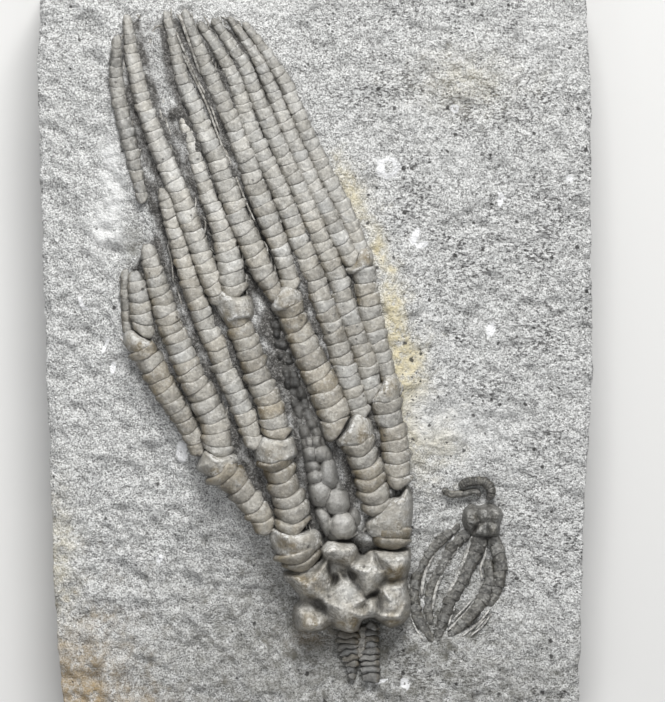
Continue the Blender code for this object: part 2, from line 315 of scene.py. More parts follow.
def buildSandGroup():
    # packed mineral grains, each with its own value from 0 to 1
    group, entry, result = newGroup(
        "sandGrains", [("Vector", "NodeSocketVector", None), ("Size", "NodeSocketFloat", 0.35)],
        [("Value", "NodeSocketFloat")])
    warp = node(group, "ShaderNodeTexNoise", Detail=1.0, Scale=3200.0)
    group.links.new(entry.outputs["Vector"], warp.inputs["Vector"])
    shift = node(group, "ShaderNodeVectorMath", operation="SCALE")
    group.links.new(warp.outputs["Color"], shift.inputs[0])
    shift.inputs["Scale"].default_value = 0.25 * mm
    moved = node(group, "ShaderNodeVectorMath", operation="ADD")
    group.links.new(entry.outputs["Vector"], moved.inputs[0])
    group.links.new(shift.outputs[0], moved.inputs[1])
    cells = node(group, "ShaderNodeTexVoronoi")
    group.links.new(moved.outputs[0], cells.inputs["Vector"])
    group.links.new(mathNode(group, "DIVIDE", 1000.0, entry.outputs["Size"]), cells.inputs["Scale"])
    split = node(group, "ShaderNodeSeparateColor")
    group.links.new(cells.outputs["Color"], split.inputs[0])
    group.links.new(split.outputs[0], result.inputs["Value"])
    return group


def buildSpeckGroup():
    # scattered dark grains: rounded spots in a share of the cells
    group, entry, result = newGroup(
        "darkSpecks",
        [("Vector", "NodeSocketVector", None), ("Spacing", "NodeSocketFloat", 0.9),
         ("Amount", "NodeSocketFloat", 0.3)],
        [("Mask", "NodeSocketFloat")])
    scale = mathNode(group, "DIVIDE", 1000.0, entry.outputs["Spacing"])
    warp = node(group, "ShaderNodeTexNoise", Detail=2.0, Scale=2600.0)
    group.links.new(entry.outputs["Vector"], warp.inputs["Vector"])
    cells = node(group, "ShaderNodeTexVoronoi")
    group.links.new(entry.outputs["Vector"], cells.inputs["Vector"])
    group.links.new(scale, cells.inputs["Scale"])
    picked = node(group, "ShaderNodeSeparateColor")
    group.links.new(cells.outputs["Color"], picked.inputs[0])
    chosen = mathNode(group, "LESS_THAN", picked.outputs[0], entry.outputs["Amount"])
    reach = plus(group, times(group, picked.outputs[1], 0.22), 0.12)
    edge = plus(group, cells.outputs["Distance"],
                    times(group, minus(group, warp.outputs["Fac"], 0.5), 0.35))
    inside = minus(group, reach, edge)
    soft = times(group, inside, 9.0, clamp=True)
    group.links.new(times(group, soft, chosen), result.inputs["Mask"])
    return group


def buildPatchGroup():
    # one soft-edged patch round a place, with a ragged border
    group, entry, result = newGroup(
        "raggedPatch",
        [("Vector", "NodeSocketVector", None), ("Place", "NodeSocketVector", None),
         ("Across", "NodeSocketFloat", 1.0), ("Along", "NodeSocketFloat", 1.0),
         ("Turn", "NodeSocketFloat", 0.0), ("Hollow", "NodeSocketFloat", 0.0)],
        [("Mask", "NodeSocketFloat")])
    away = node(group, "ShaderNodeVectorMath", operation="SUBTRACT")
    group.links.new(entry.outputs["Vector"], away.inputs[0])
    group.links.new(entry.outputs["Place"], away.inputs[1])
    turned = node(group, "ShaderNodeVectorRotate", rotation_type="Z_AXIS")
    group.links.new(away.outputs[0], turned.inputs["Vector"])
    group.links.new(entry.outputs["Turn"], turned.inputs["Angle"])
    split = node(group, "ShaderNodeSeparateXYZ")
    group.links.new(turned.outputs[0], split.inputs[0])
    flat = node(group, "ShaderNodeCombineXYZ")
    for index, label in enumerate(("Across", "Along")):
        share = mathNode(group, "DIVIDE", split.outputs[index], entry.outputs[label])
        group.links.new(share, flat.inputs[index])
    reach = node(group, "ShaderNodeVectorMath", operation="LENGTH")
    group.links.new(flat.outputs[0], reach.inputs[0])
    ragged = node(group, "ShaderNodeTexNoise", Detail=3.0, Scale=1500.0, Roughness=0.7)
    group.links.new(entry.outputs["Vector"], ragged.inputs["Vector"])
    edge = plus(group, reach.outputs["Value"],
                    times(group, minus(group, ragged.outputs["Fac"], 0.5), 1.1))
    outer = times(group, minus(group, 1.0, edge), 4.0, clamp=True)
    inner = times(group, minus(group, edge, entry.outputs["Hollow"]), 5.0, clamp=True)
    group.links.new(times(group, outer, inner), result.inputs["Mask"])
    return group


grainGroup, sandGroup = buildGrainGroup(), buildSandGroup()
speckGroup, patchGroup = buildSpeckGroup(), buildPatchGroup()


def placeGroup(tree, group, vector, **values):
    made = tree.nodes.new("ShaderNodeGroup")
    made.node_tree = group
    tree.links.new(vector, made.inputs["Vector"])
    for label, value in values.items():
        if isinstance(value, (int, float, tuple)):
            made.inputs[label].default_value = value
        else:
            tree.links.new(value, made.inputs[label])
    return made.outputs[0]


def startMaterial(name, roughness):
    material = bpy.data.materials.new(name)
    material.use_nodes = True
    tree = material.node_tree
    shader = tree.nodes["Principled BSDF"]
    shader.inputs["Roughness"].default_value = roughness
    place = tree.nodes.new("ShaderNodeTexCoord").outputs["Object"]
    return material, tree, shader, place


def bumpFrom(tree, shader, height, reach):
    # reach in millimetres
    made = node(tree, "ShaderNodeBump", Distance=reach * mm)
    tree.links.new(height, made.inputs["Height"])
    tree.links.new(made.outputs[0], shader.inputs["Normal"])


matrixLook = {
    "pale": (0.82, 0.82, 0.795), "grey": (0.63, 0.63, 0.61), "dark": (0.075, 0.073, 0.070),
    # gap: painted shade for the floor between the arms
    "gap": (0.060, 0.056, 0.050), "debris": (0.37, 0.36, 0.34), "cream": (0.76, 0.67, 0.43),
    # the first colour on the next line darkens patches, partly as painted shade beneath the cup and at the
    # foot of the stem
    "darkPatchAndShade": (0.16, 0.155, 0.13), "ochre": (0.42, 0.30, 0.15), "chalk": (0.90, 0.90, 0.88),
    "speck": (0.045, 0.043, 0.04), "chip": (0.99, 0.99, 0.99),
    "roughness": 0.9, "bump": 1.3,
    # crisp grain and short dark marks, sizes in millimetres
    "sandSize": 0.19, "gritSize": 0.40, "markSize": 0.34, "markTurn": 24.0, "markStretch": 0.42,
    # pale chips: x, y, across, along, turn in degrees, hollow middle
    "chips": [
        (11.7, 29.4, 2.0, 2.0, 0, 0.4), (10.6, 29.0, 0.7, 1.2, 0, 0), (16.0, 18.4, 0.6, 1.6, 25, 0),
        (17.2, 17.0, 1.3, 0.5, -15, 0), (15.6, 17.6, 0.9, 0.4, 35, 0), (29.7, 24.3, 0.5, 1.3, 10, 0),
        (29.9, 24.9, 0.9, 0.3, 40, 0), (22.4, 38.9, 0.8, 0.8, 0, 0.2), (40.8, 27.6, 0.55, 0.8, -40, 0),
        (-21.3, -16.2, 1.0, 1.9, 0, 0), (-24.9, -33.3, 0.5, 0.9, 20, 0), (14.4, -53.4, 0.8, 1.1, -30, 0),
        (10.6, -53.0, 1.2, 0.35, -15, 0), (28.2, 3.4, 0.8, 1.3, 20, 0), (-32.4, -2.6, 0.5, 1.1, 10, 0),
        (-33.6, 0.8, 0.3, 1.6, 25, 0), (-37.4, 7.6, 0.35, 1.4, -20, 0), (-37.0, 7.0, 1.1, 0.3, 30, 0)],
}


def buildMatrixMaterial():
    look = matrixLook
    material, tree, shader, place = startMaterial("matrixStone", look["roughness"])
    broad = placeGroup(tree, grainGroup, place, Size=5.0, Mix=0.35)
    grit = placeGroup(tree, grainGroup, place, Size=look["gritSize"], Mix=0.5)
    clump = placeGroup(tree, grainGroup, place, Size=1.6, Mix=0.25)
    stretched = tree.nodes.new("ShaderNodeMapping")
    stretched.inputs["Rotation"].default_value = (0.0, 0.0, math.radians(look["markTurn"]))
    stretched.inputs["Scale"].default_value = (look["markStretch"], 1.0, 1.0)
    tree.links.new(place, stretched.inputs["Vector"])
    marks = placeGroup(tree, grainGroup, stretched.outputs[0], Size=look["markSize"], Mix=0.4)
    sand = placeGroup(tree, sandGroup, place, Size=look["sandSize"])
    amount = attributeValue(tree, "speckle")
    body = mixColour(tree, rampNode(tree, broad, 0.38, 0.62), look["grey"], look["pale"])
    # hollow: painted shade in the dips of the face; crest: paler raised crests, partly wear and partly
    # painted highlight
    broken = times(tree, plus(tree, 0.35, rampNode(tree, grit, 0.62, 0.40)), 0.44)
    hollow = times(tree, attributeValue(tree, "hollow"), broken, clamp=True)
    crest = times(tree, attributeValue(tree, "crest"), 0.35, clamp=True)
    body = mixColour(tree, crest, mixColour(tree, hollow, body, look["dark"]), look["chalk"])
    # grain: from half dark to a little chalky, then dark marks where the clumps allow them
    body = mixColour(tree, rampNode(tree, grit, 0.36, 0.60), mixColour(tree, 0.38, body, look["dark"]),
                     mixColour(tree, 0.44, body, look["chalk"]))
    body = mixColour(tree, rampNode(tree, sand, 0.0, 0.9), mixColour(tree, 0.68, body, look["dark"]),
                     mixColour(tree, 0.76, body, look["chalk"]))
    edge = plus(tree, 0.28, times(tree, plus(tree, amount, clump), 0.18))
    marked = times(tree, minus(tree, edge, marks), 40.0, clamp=True)
    flecked = times(tree, minus(tree, marks, minus(tree, 0.98, edge)), 20.0, clamp=True)
    body = mixColour(tree, times(tree, flecked, 0.65), body, look["chalk"])
    body = mixColour(tree, times(tree, marked, 0.86), body, look["dark"])
    # tinted patches; the dark one is partly painted shade beneath the cup and at the foot of the stem
    for tintLabel in slabTint:
        mask = times(tree, attributeValue(tree, tintLabel), rampNode(tree, clump, 0.25, 0.62), clamp=True)
        body = mixColour(tree, mask, body, look[tintLabel])
    # floor of the gaps between arms: painted shade, with pale debris
    debris = rampNode(tree, grit, 0.49, 0.61)
    floor = mixColour(tree, times(tree, debris, 0.85), look["gap"], look["debris"])
    body = mixColour(tree, attributeValue(tree, "gap"), body, floor)
    flat = node(tree, "ShaderNodeVectorMath", operation="MULTIPLY")
    flat.inputs[1].default_value = (1.0, 1.0, 0.0)
    tree.links.new(place, flat.inputs[0])
    for x, y, across, along, turn, hole in look["chips"]:
        mask = placeGroup(tree, patchGroup, flat.outputs[0], Place=(x * mm, y * mm, 0.0), Across=across * mm,
                          Along=along * mm, Turn=math.radians(turn), Hollow=float(hole))
        body = mixColour(tree, mask, body, look["chip"])
    large = placeGroup(tree, speckGroup, place, Spacing=1.4, Amount=times(tree, amount, 0.55))
    small = placeGroup(tree, speckGroup, place, Spacing=0.7, Amount=times(tree, amount, 0.7))
    specks = mathNode(tree, "MAXIMUM", large, times(tree, small, 0.85))
    body = mixColour(tree, times(tree, specks, 0.9), body, look["speck"])
    tree.links.new(body, shader.inputs["Base Color"])
    height = clump
    for layer, share in ((grit, 0.30), (marks, 0.20), (marked, -0.06), (sand, 0.035), (specks, -0.06)):
        height = plus(tree, height, times(tree, layer, share))
    bumpFrom(tree, shader, height, look["bump"])
    return material


slabLook = {
    "length": 120.0, "halfWidth": 44.7, "thickness": 18.0, "columns": 246, "rows": 332, "wallRows": 12,
    # x, y, reach across, reach along, turn in degrees, height: the same swells that carry the arms
    "swells": [
        (-9.0, 4.0, 17.0, 40.0, 15.0, 4.6),
        (-1.0, -20.0, 11.0, 14.0, 5.0, 2.0),
        (5.0, -42.0, 15.0, 10.0, 0.0, -2.4),
        (24.0, -34.0, 10.0, 15.0, -10.0, -1.8),
        (15.0, 4.0, 4.5, 20.0, 12.0, 1.6),
        (30.0, 32.0, 14.0, 18.0, 0.0, 0.9),
        (-37.0, -18.0, 7.0, 22.0, 0.0, 0.7),
        (-35.0, 26.0, 5.0, 13.0, 0.0, 0.8),
        (-20.0, -42.0, 14.0, 12.0, 30.0, -0.8),
    ],
    "leftEdge": [(-60, -40.2), (-48, -41.3), (-36, -42.0), (0, -43.3), (29, -44.2), (45, -44.7), (60, -44.0)],
    "rightEdge": [(-60, 42.3), (-46, 42.7), (-25, 43.3), (-5, 44.7), (14, 44.4), (43, 44.4), (60, 43.4)],
    # surface roughness: size, stretch, turn, height
    "roughness": [(14.0, 1.4, 20.0, 0.34), (5.0, 1.3, -30.0, 0.50), (2.4, 1.3, -20.0, 0.42),
                  (1.2, 1.3, -25.0, 0.34), (0.75, 1.2, 10.0, 0.16)],
    "scallop": 0.28, "rimDrop": 0.4,
    # hollow over the upper sac: how far left of the middle, drift to the left along y, reach
    "sacHollow": (4.9, 0.327, 3.0),
    # debris in the gaps: stretch and turn of its fibres, rise of the gap floor
    "fibreStretch": 3.0, "fibreTurn": 112.0, "gapRise": 0.25,
    # fills between the pieces: x, y, across, along, turn, height
    "fills": [
        (7.5, -25.0, 1.2, 5.0, -8, 1.9), (-0.3, -30.0, 1.3, 2.0, 0, 2.2), (8.4, -30.2, 2.2, 1.3, 0, 3.0),
        (12.0, -22.6, 0.8, 1.6, 10, 3.0)],
    "ledgeSize": 4.6, "ledgeHeight": 0.45,
    # coarse pitted ground: x, y, across, along, turn
    "roughSpots": [
        (29, 15, 12, 3.5, -28), (39, 21, 4, 5, 0), (28, 21, 4, 3, 30), (17, 24, 3.5, 3, 0),
        (36, 3, 9, 6, 0), (15.5, 3, 2.5, 6, 10), (30, 38, 9, 4, 20), (12, 44, 6, 5, 0),
        (26, -6, 8, 4, -20), (36, -30, 5, 8, 0), (22, -52, 9, 3, 0)],
    # banks: side, from y, to y, reach, rise
    "banks": [
        (1.0, -16.0, 22.0, 4.6, 1.7), (1.0, 26.0, 50.0, 3.0, 0.7), (-1.0, -34.0, 8.0, 3.6, 1.6),
        (-1.0, 24.0, 52.0, 3.2, 1.1)],
}


def bedHeight(x, y):
    # the carved face of the matrix before its roughness
    height = np.full(np.shape(x), slabLook["thickness"], dtype=float)
    for *oval, rise in slabLook["swells"]:
        height = height + rise * np.exp(-ovalReach(x, y, *oval))
    return height


# routes along the crown, base to tip: x, y, width
arms = {
    "left_ray_base": [(-1.3, -35.4, 4.8), (-2.0, -33.6, 6.6), (-3.3, -30.9, 7.2), (-5.2, -28.8, 4.6)],
    "left_inner_lower_arm": [
        (-3.2, -28.4, 5.2), (-4.1, -24.0, 4.8), (-5.3, -19.8, 4.5), (-6.4, -16.6, 5.8), (-7.0, -14.3, 4.8)],
    "left_inner_upper_arm": [
        (-6.1, -13.3, 4.3), (-7.0, -9.0, 3.9), (-9.3, -3.0, 3.9), (-12.0, 4.2, 3.9), (-13.1, 6.9, 5.0),
        (-13.9, 8.9, 4.2)],
    "left_arm_1": [
        (-15.1, 8.4, 2.9), (-16.5, 11.4, 3.1), (-17.9, 15.0, 2.9), (-20.5, 22.0, 2.9), (-23.8, 30.0, 2.8),
        (-27.0, 38.0, 2.5), (-29.0, 46.0, 2.1), (-30.2, 53.8, 1.2)],
    "left_arm_2": [
        (-9.7, -14.8, 3.0), (-10.4, -12.2, 3.1), (-12.5, -7.0, 3.2), (-15.9, 1.0, 3.2), (-18.4, 7.0, 3.0),
        (-21.1, 15.0, 2.7), (-24.3, 26.0, 2.0)],
    "left_arm_3": [
        (-12.7, 9.5, 3.8), (-13.4, 13.5, 3.6), (-14.8, 19.0, 2.9), (-17.1, 25.0, 2.4), (-21.2, 37.4, 1.5)],
    "left_outer_lower_arm": [
        (-7.9, -28.4, 3.4), (-8.6, -26.4, 4.0), (-12.1, -21.7, 4.2), (-15.2, -18.6, 5.6),
        (-16.6, -17.0, 5.0)],
    "left_outer_upper_arm": [
        (-18.5, -15.8, 2.8), (-19.7, -13.0, 3.2), (-24.4, -5.0, 3.9), (-26.9, -0.8, 4.2),
        (-28.1, 1.4, 4.8), (-28.7, 2.8, 4.0)],
    "left_arm_4": [
        (-15.3, -16.2, 4.2), (-16.2, -11.0, 4.1), (-19.1, -5.0, 3.9), (-21.8, 1.0, 3.7), (-24.1, 7.0, 3.3),
        (-26.8, 17.0, 2.2)],
    "left_arm_5": [(-27.1, 3.2, 3.0), (-27.7, 6.5, 3.3), (-28.9, 12.6, 2.2)],
    "left_arm_6": [(-29.8, 3.4, 1.6), (-30.2, 8.0, 1.7), (-30.3, 13.0, 1.2)],
    "left_arm_7": [(-27.3, 23.5, 1.6), (-29.4, 32.0, 2.1), (-31.6, 42.0, 2.1), (-31.8, 50.5, 1.4)],
    "middle_lower_arm": [
        (10.2, -26.0, 4.6), (9.6, -23.4, 4.6), (8.7, -20.0, 4.5), (7.4, -16.2, 4.7), (6.6, -13.2, 5.2),
        (6.5, -11.2, 4.0)],
    "middle_upper_arm": [
        (3.6, -12.4, 4.2), (2.7, -9.0, 4.8), (-0.5, -2.0, 4.4), (-3.5, 5.0, 4.0), (-4.4, 8.0, 4.9),
        (-4.9, 9.8, 4.2)],
    "middle_arm_1": [
        (-6.4, 9.5, 2.6), (-7.6, 11.4, 3.0), (-9.3, 15.0, 3.3), (-12.1, 21.0, 3.2), (-15.2, 29.0, 2.9),
        (-18.4, 37.0, 2.5), (-21.3, 44.0, 2.1), (-23.9, 54.4, 1.1)],
    "middle_arm_2": [
        (-3.9, 10.5, 2.8), (-4.6, 13.0, 2.6), (-5.4, 16.0, 2.7), (-7.8, 22.0, 3.1), (-10.8, 30.0, 2.9),
        (-13.9, 38.0, 2.6), (-17.2, 45.0, 2.2), (-21.0, 54.6, 1.2)],
    "middle_arm_3": [
        (7.2, -9.9, 3.2), (6.0, -7.0, 3.6), (3.0, 3.0, 3.3), (-2.6, 18.0, 3.0), (-6.3, 27.0, 2.8),
        (-10.4, 36.0, 2.5), (-13.2, 44.0, 2.1), (-18.4, 52.7, 1.1)],
    "right_ray_base": [(12.4, -31.7, 5.0), (12.5, -29.6, 5.4), (13.0, -26.8, 4.8), (14.2, -23.0, 2.2)],
    "right_lower_arm": [
        (13.1, -20.9, 4.0), (13.0, -17.0, 4.2), (11.9, -11.0, 4.2), (11.2, -7.2, 4.9), (10.9, -5.6, 4.0)],
    "right_upper_arm": [
        (11.8, -4.6, 2.4), (10.7, -1.0, 3.0), (9.2, 4.0, 3.6), (7.9, 11.4, 3.4), (7.6, 14.0, 3.9),
        (7.4, 15.8, 3.2)],
    "right_arm_1": [
        (9.2, -6.7, 3.2), (8.1, -2.0, 3.5), (6.0, 4.0, 3.3), (3.3, 12.0, 3.1), (0.0, 20.0, 2.9),
        (-4.0, 29.0, 2.7), (-8.2, 38.0, 2.4), (-11.6, 46.0, 2.0), (-16.4, 53.1, 1.1)],
    "right_arm_2": [
        (5.9, 14.5, 2.8), (3.5, 19.0, 2.8), (0.5, 25.0, 2.7), (-3.3, 33.0, 2.5), (-6.6, 41.0, 2.1),
        (-9.4, 47.0, 1.7), (-13.8, 53.5, 1.0)],
    "right_arm_3": [
        (7.0, 17.0, 2.3), (4.6, 22.6, 2.5), (1.8, 28.0, 2.5), (-2.0, 36.0, 2.3), (-5.4, 44.0, 2.0),
        (-11.4, 52.6, 1.0)],
}


sacLook = {
    "route": [
        (4.3, -30.2, 3.6), (4.2, -27.0, 6.6), (1.8, -22.5, 5.4), (0.6, -17.0, 4.8), (-1.6, -10.0, 3.8),
        (-3.8, -4.0, 3.2), (-6.5, 5.0, 2.0)],
    # lower plates: x, y, half sizes, how far they stand out, tone
    "plates": [
        (0.7, -27.5, 1.55, 2.2, 1.1, 1.2), (4.5, -27.9, 1.8, 1.9, 1.3, 1.6),
        (7.0, -26.4, 1.2, 1.8, 0.5, 0.2), (3.7, -24.0, 1.6, 1.9, 1.0, 1.0),
        (0.7, -22.7, 1.7, 1.8, 0.9, 1.0), (1.6, -25.1, 0.6, 0.4, 0.1, 0.2),
        (2.3, -19.4, 1.3, 2.1, 0.9, 0.6), (-0.1, -20.1, 1.1, 0.9, 0.9, 0.7),
        (-0.6, -18.3, 1.2, 0.8, 0.5, 0.3), (1.3, -16.2, 1.4, 1.3, 0.8, 0.5),
        (-0.9, -16.3, 1.0, 1.1, 0.9, 0.6), (-0.8, -14.5, 0.9, 0.7, 0.6, 0.5),
        (4.3, -21.4, 0.8, 1.2, 0.4, 0.4), (2.9, -29.7, 0.9, 0.7, 0.2, 0.4),
        (3.2, -17.2, 0.6, 1.2, 0.3, 0.3), (-2.1, -17.8, 0.5, 1.4, 0.3, 0.6),
        (0.9, -14.3, 0.9, 0.8, 0.6, 0.2)],
    "upperFrom": 16.5, "upperPitch": 1.65, "plateDepth": 1.8, "crown": 2.3, "cell": 0.15, "around": 4.2,
}


# outline through the middles of the outermost arms
crownEdge = roundLoop([
    (-1.3, -36.0), (-3.6, -31.0), (-8.6, -26.4), (-12.1, -21.7), (-15.6, -18.2), (-19.7, -13.0),
    (-24.4, -5.0), (-28.1, 1.4), (-30.1, 8.0), (-29.9, 13.0), (-26.4, 18.5), (-27.6, 24.0), (-29.4, 32.0),
    (-31.6, 42.0), (-31.6, 50.5), (-29.6, 53.4), (-23.9, 54.0), (-20.6, 54.0), (-16.0, 52.6),
    (-10.4, 51.4), (-5.4, 44.0), (-2.0, 36.0), (1.8, 28.0), (4.6, 22.6), (7.2, 16.0), (9.2, 4.0),
    (10.9, -2.0), (12.0, -11.0), (13.1, -20.9), (13.2, -27.0), (12.6, -33.0)], 3)


crownOval = (-8.5, 2.0, 17.5, 50.0, 15.0)  # x, y, across, along, turn


def crownCover(x, y):
    # 1 under the crown, 0 out on the bare matrix
    return 1.0 - softStep(ovalReach(x, y, *crownOval), 0.62, 1.0)


def armNearness(x, y, routes, near, far):
    # 1 close to the flank of an arm, 0 further off than far
    nearest = np.full(np.shape(x), far)
    for knots in routes:
        points, travel = smoothRoute(knots)
        points = points[::4]
        low, high = points[:, :2].min(axis=0) - 5, points[:, :2].max(axis=0) + 5
        close = (x > low[0]) & (x < high[0]) & (y > low[1]) & (y < high[1])
        away = np.hypot(x[close][:, None] - points[:, 0], y[close][:, None] - points[:, 1]) - points[:, 2] / 2
        nearest[close] = np.minimum(nearest[close], away.min(axis=1))
    return 1.0 - softStep(nearest, near, far)


def addWalls(top, faces, rim):
    # rough sides hung from the rim of the face, then a flat back; faces is added to
    look = slabLook
    rimPlace = top[rim]
    outward = rimPlace[:, :2] / np.array([look["halfWidth"], look["length"] / 2])
    sideways = np.abs(outward[:, 0]) > np.abs(outward[:, 1])
    around = np.where(sideways, rimPlace[:, 1], rimPlace[:, 0])
    blocks, last, start = [top], np.array(rim), len(top)
    for level in range(1, look["wallRows"] + 1):
        depth = level / look["wallRows"]
        fade = math.sin(math.pi * min(1.0, depth * 1.15)) if depth < 0.87 else 0.15
        height = rimPlace[:, 2] * (1 - depth)
        bite = (0.55 * grainNoise(around, height, 4.0, 31) + 0.30 * grainNoise(around, height, 1.6, 32)
                + 0.35) * fade * 0.9
        ring = rimPlace.copy()
        ring[:, 2] = height
        ring[:, 0] -= np.where(sideways, np.sign(outward[:, 0]) * bite, 0)
        ring[:, 1] -= np.where(sideways, 0, np.sign(outward[:, 1]) * bite * 0.6)
        blocks.append(ring)
        now = np.arange(start, start + len(rim))
        start += len(rim)
        faces += list(zip(*(line.tolist() for line in (last, now, np.roll(now, -1), np.roll(last, -1)))))
        last = now
    faces.append(tuple(reversed(last.tolist())))
    return np.vstack(blocks)


def buildSlab(material):
    look = slabLook
    columns, rows = look["columns"], look["rows"]
    ySteps = np.linspace(-look["length"] / 2, look["length"] / 2, rows + 1)
    share, y = np.meshgrid(np.linspace(0, 1, columns + 1), ySteps)
    left = np.interp(y, *zip(*look["leftEdge"]))
    span = np.interp(y, *zip(*look["rightEdge"])) - left

    def nibbled(seed):
        # how far a long side is broken in along its length
        return look["scallop"] * (0.5 + grainNoise(y, y * 0, 1.5, seed) * 0.7
                                  + grainNoise(y, y * 0, 5.0, seed + 1) * 0.5)
    x = (left + share * span + np.exp(-share * span / 2.5) * nibbled(3)
         - np.exp(-(1 - share) * span / 2.5) * nibbled(5))
    z = bedHeight(x, y)
    inner = insideDepth(x, y, crownEdge)
    gap = armNearness(x, y, list(arms.values()) + [sacLook["route"]], 0.6, 2.6) * softStep(inner, 0.0, 1.2)
    for index, (size, stretch, turn, height) in enumerate(look["roughness"]):
        wave = grainNoise(x, y, size, 20 + index, stretch, turn)
        z += height * (wave - 0.5 * np.abs(wave) + 0.1)
    # broken terraces, strongest down the left, and banks against the flanks of the crown
    ledges = 1 - 2.2 * np.abs(grainNoise(x, y, look["ledgeSize"], 27, 1.2, -35.0))
    z += look["ledgeHeight"] * ledges * (0.35 + 0.65 * softStep(-x, -4, 26)) * softStep(-inner, 0.5, 3.0)
    for side, low, high, reach, rise in look["banks"]:
        along = softStep(y, low - 4, low + 4) * softStep(-y, -high - 4, -high + 4)
        z += rise * along * softStep(side * (x + 4.0), -1, 1) * np.exp(-(np.clip(-inner, 0, 99) / reach) ** 2)
    fibres = (grainNoise(x, y, 0.9, 51, look["fibreStretch"], look["fibreTurn"])
              + 0.7 * grainNoise(x, y, 2.0, 52, 2.0, look["fibreTurn"]))
    # the gaps are choked with debris, but for the hollow over the upper sac
    leftward, drift, reach = look["sacHollow"]
    hollow = np.exp(-((x + leftward + drift * y) / reach) ** 2)
    hollow *= softStep(y, -19, -12) * softStep(-y, -11, -6)
    z += gap * (0.5 * fibres + look["gapRise"] - 0.6 * hollow) + 0.5 * crownCover(x, y)
    filled = np.zeros(x.shape)
    for *oval, height in look["fills"]:
        mound = np.exp(-ovalReach(x, y, *oval))
        filled = np.maximum(filled, mound)
        z += height * mound
    shape = z - blurGrid(z, 3)
    toEdge = np.minimum(share * span, (1 - share) * span)
    toEnd = look["length"] / 2 - np.abs(y)
    z = z - look["rimDrop"] * (np.exp(-(toEdge / 0.8) ** 2) + np.exp(-(toEnd / 0.5) ** 2))
    top = np.column_stack([x.ravel(), y.ravel(), z.ravel()])

    def at(row, column):
        return row * (columns + 1) + column
    faces = [(at(r, c), at(r, c + 1), at(r + 1, c + 1), at(r + 1, c))
             for r in range(rows) for c in range(columns)]
    rim = ([at(0, c) for c in range(columns)] + [at(r, columns) for r in range(rows)]
           + [at(rows, c) for c in range(columns, 0, -1)] + [at(r, 0) for r in range(rows, 0, -1)])
    verts = addWalls(top, faces, rim)
    slab = meshPiece("matrix_face", verts, faces)
    walls = np.zeros(len(verts) - len(top))
    # painted shade in the dips of the face (hollow), and paler raised crests, partly wear and partly painted
    # highlight (crest)
    paint(slab, "hollow", np.concatenate([softStep(-shape.ravel(), 0.02, 0.24), walls]))
    paint(slab, "crest", np.concatenate([softStep(shape.ravel(), 0.02, 0.20), walls]))
    # gap: painted shade on the floor between the arms and under the crown, less over the fills
    cover = (np.maximum(gap, 0.4 * softStep(inner, 0.3, 1.5)) * (1 - 0.55 * filled)).ravel()
    ragged = 1.0 + 0.8 * np.concatenate([fibres.ravel(), walls])
    paint(slab, "gap", np.clip(np.concatenate([cover, walls]) ** 1.5 * ragged, 0, 0.97))
    paintSlab(slab, verts)
    finishPiece(slab, material, "matrix", "matrix_slab")


slabTint = {
    # label: x, y, across, along, turn, strength
    # dark patches, in part painted shade beneath the cup and at the foot of the stem
    "darkPatchAndShade": [
        (2, -44, 20, 12, 0, 0.54), (22, -37, 8, 12, -10, 0.40), (-5, -30, 9, 10, 20, 0.34),
        (0, -58, 50, 12, 0, 0.46), (-20, -46, 12, 9, 20, 0.16), (9, -47.5, 3.0, 1.6, 0, 0.8),
        (-29.0, 17, 1.8, 4.0, 0, 0.9), (34, -55, 16, 9, 0, 0.24), (30, 2, 20, 20, 0, 0.02),
        (20, 45, 30, 16, 0, 0.07)],
    "cream": [
        (12.9, 4, 1.9, 8, 8, 1.0), (14.4, -4, 2.8, 5.5, 0, 1.3), (5.8, 25.5, 1.8, 4.5, 25, 0.7),
        (15.6, -13, 3.0, 6.0, 20, 0.6), (20.5, -14.5, 2.6, 3.0, 40, 0.5), (24, 43, 7, 4, 0, 0.25),
        (-41.5, -34, 3.0, 10, 0, 0.35), (10.2, 17.0, 1.2, 3.5, 10, 0.6)],
    "ochre": [(-38, -54, 7, 9, 0, 0.75), (-30, -60, 9, 4, 0, 0.55), (-1, -46, 3.0, 1.3, 0, 0.35)],
    "chalk": [
        (-32.6, 28, 1.6, 5.5, 5, 1.5), (-33.4, 19.5, 2.4, 3.0, 0, 1.2), (16.8, -10.0, 2.4, 4.5, 20, 0.7),
        (24, -12, 9, 6, 0, 0.5), (18, 38, 4, 4, 0, 0.35), (22, 30, 5, 3, 20, 0.25), (38, 50, 6, 5, 0, 0.3),
        (27.5, 4, 3.5, 2.5, 20, 0.2), (17.0, 4.0, 2.5, 3.5, 0, 0.3), (-12, 57, 12, 3.0, 0, 0.35)],
}


def paintSlab(slab, verts):
    x, y = verts[:, 0], verts[:, 1]
    ragged = 1.0 + 0.55 * grainNoise(x, y, 3.0, 41) + 0.45 * grainNoise(x, y, 1.2, 42)
    for label, spots in slabTint.items():
        value = np.zeros(len(verts))
        for *oval, strength in spots:
            value += strength * np.exp(-ovalReach(x, y, *oval) * ragged)
        paint(slab, label, np.clip(value, 0, 1))
    clusters = softStep(grainNoise(x, y, 7.0, 43) + 0.7 * grainNoise(x, y, 2.6, 44), -0.1, 0.9)
    rightHalf = softStep(x, -14, 16)
    rough = np.zeros(len(verts))
    for oval in slabLook["roughSpots"]:
        rough = np.maximum(rough, np.exp(-ovalReach(x, y, *oval) * ragged))
    speckle = 0.05 + 0.08 * clusters + (0.13 + 0.26 * clusters) * rightHalf + 0.26 * rough
    paint(slab, "speckle", np.clip(speckle, 0, 1))


crinoidLook = {
    "taupe": (0.315, 0.303, 0.272), "grey": (0.395, 0.39, 0.368), "brown": (0.200, 0.160, 0.095),
    "pale": (0.62, 0.615, 0.59), "joint": (0.045, 0.041, 0.036), "dust": (0.66, 0.655, 0.63),
    "flankShade": 0.50, "sand": 0.18,
    "roughness": 0.42, "bump": 0.5,
}


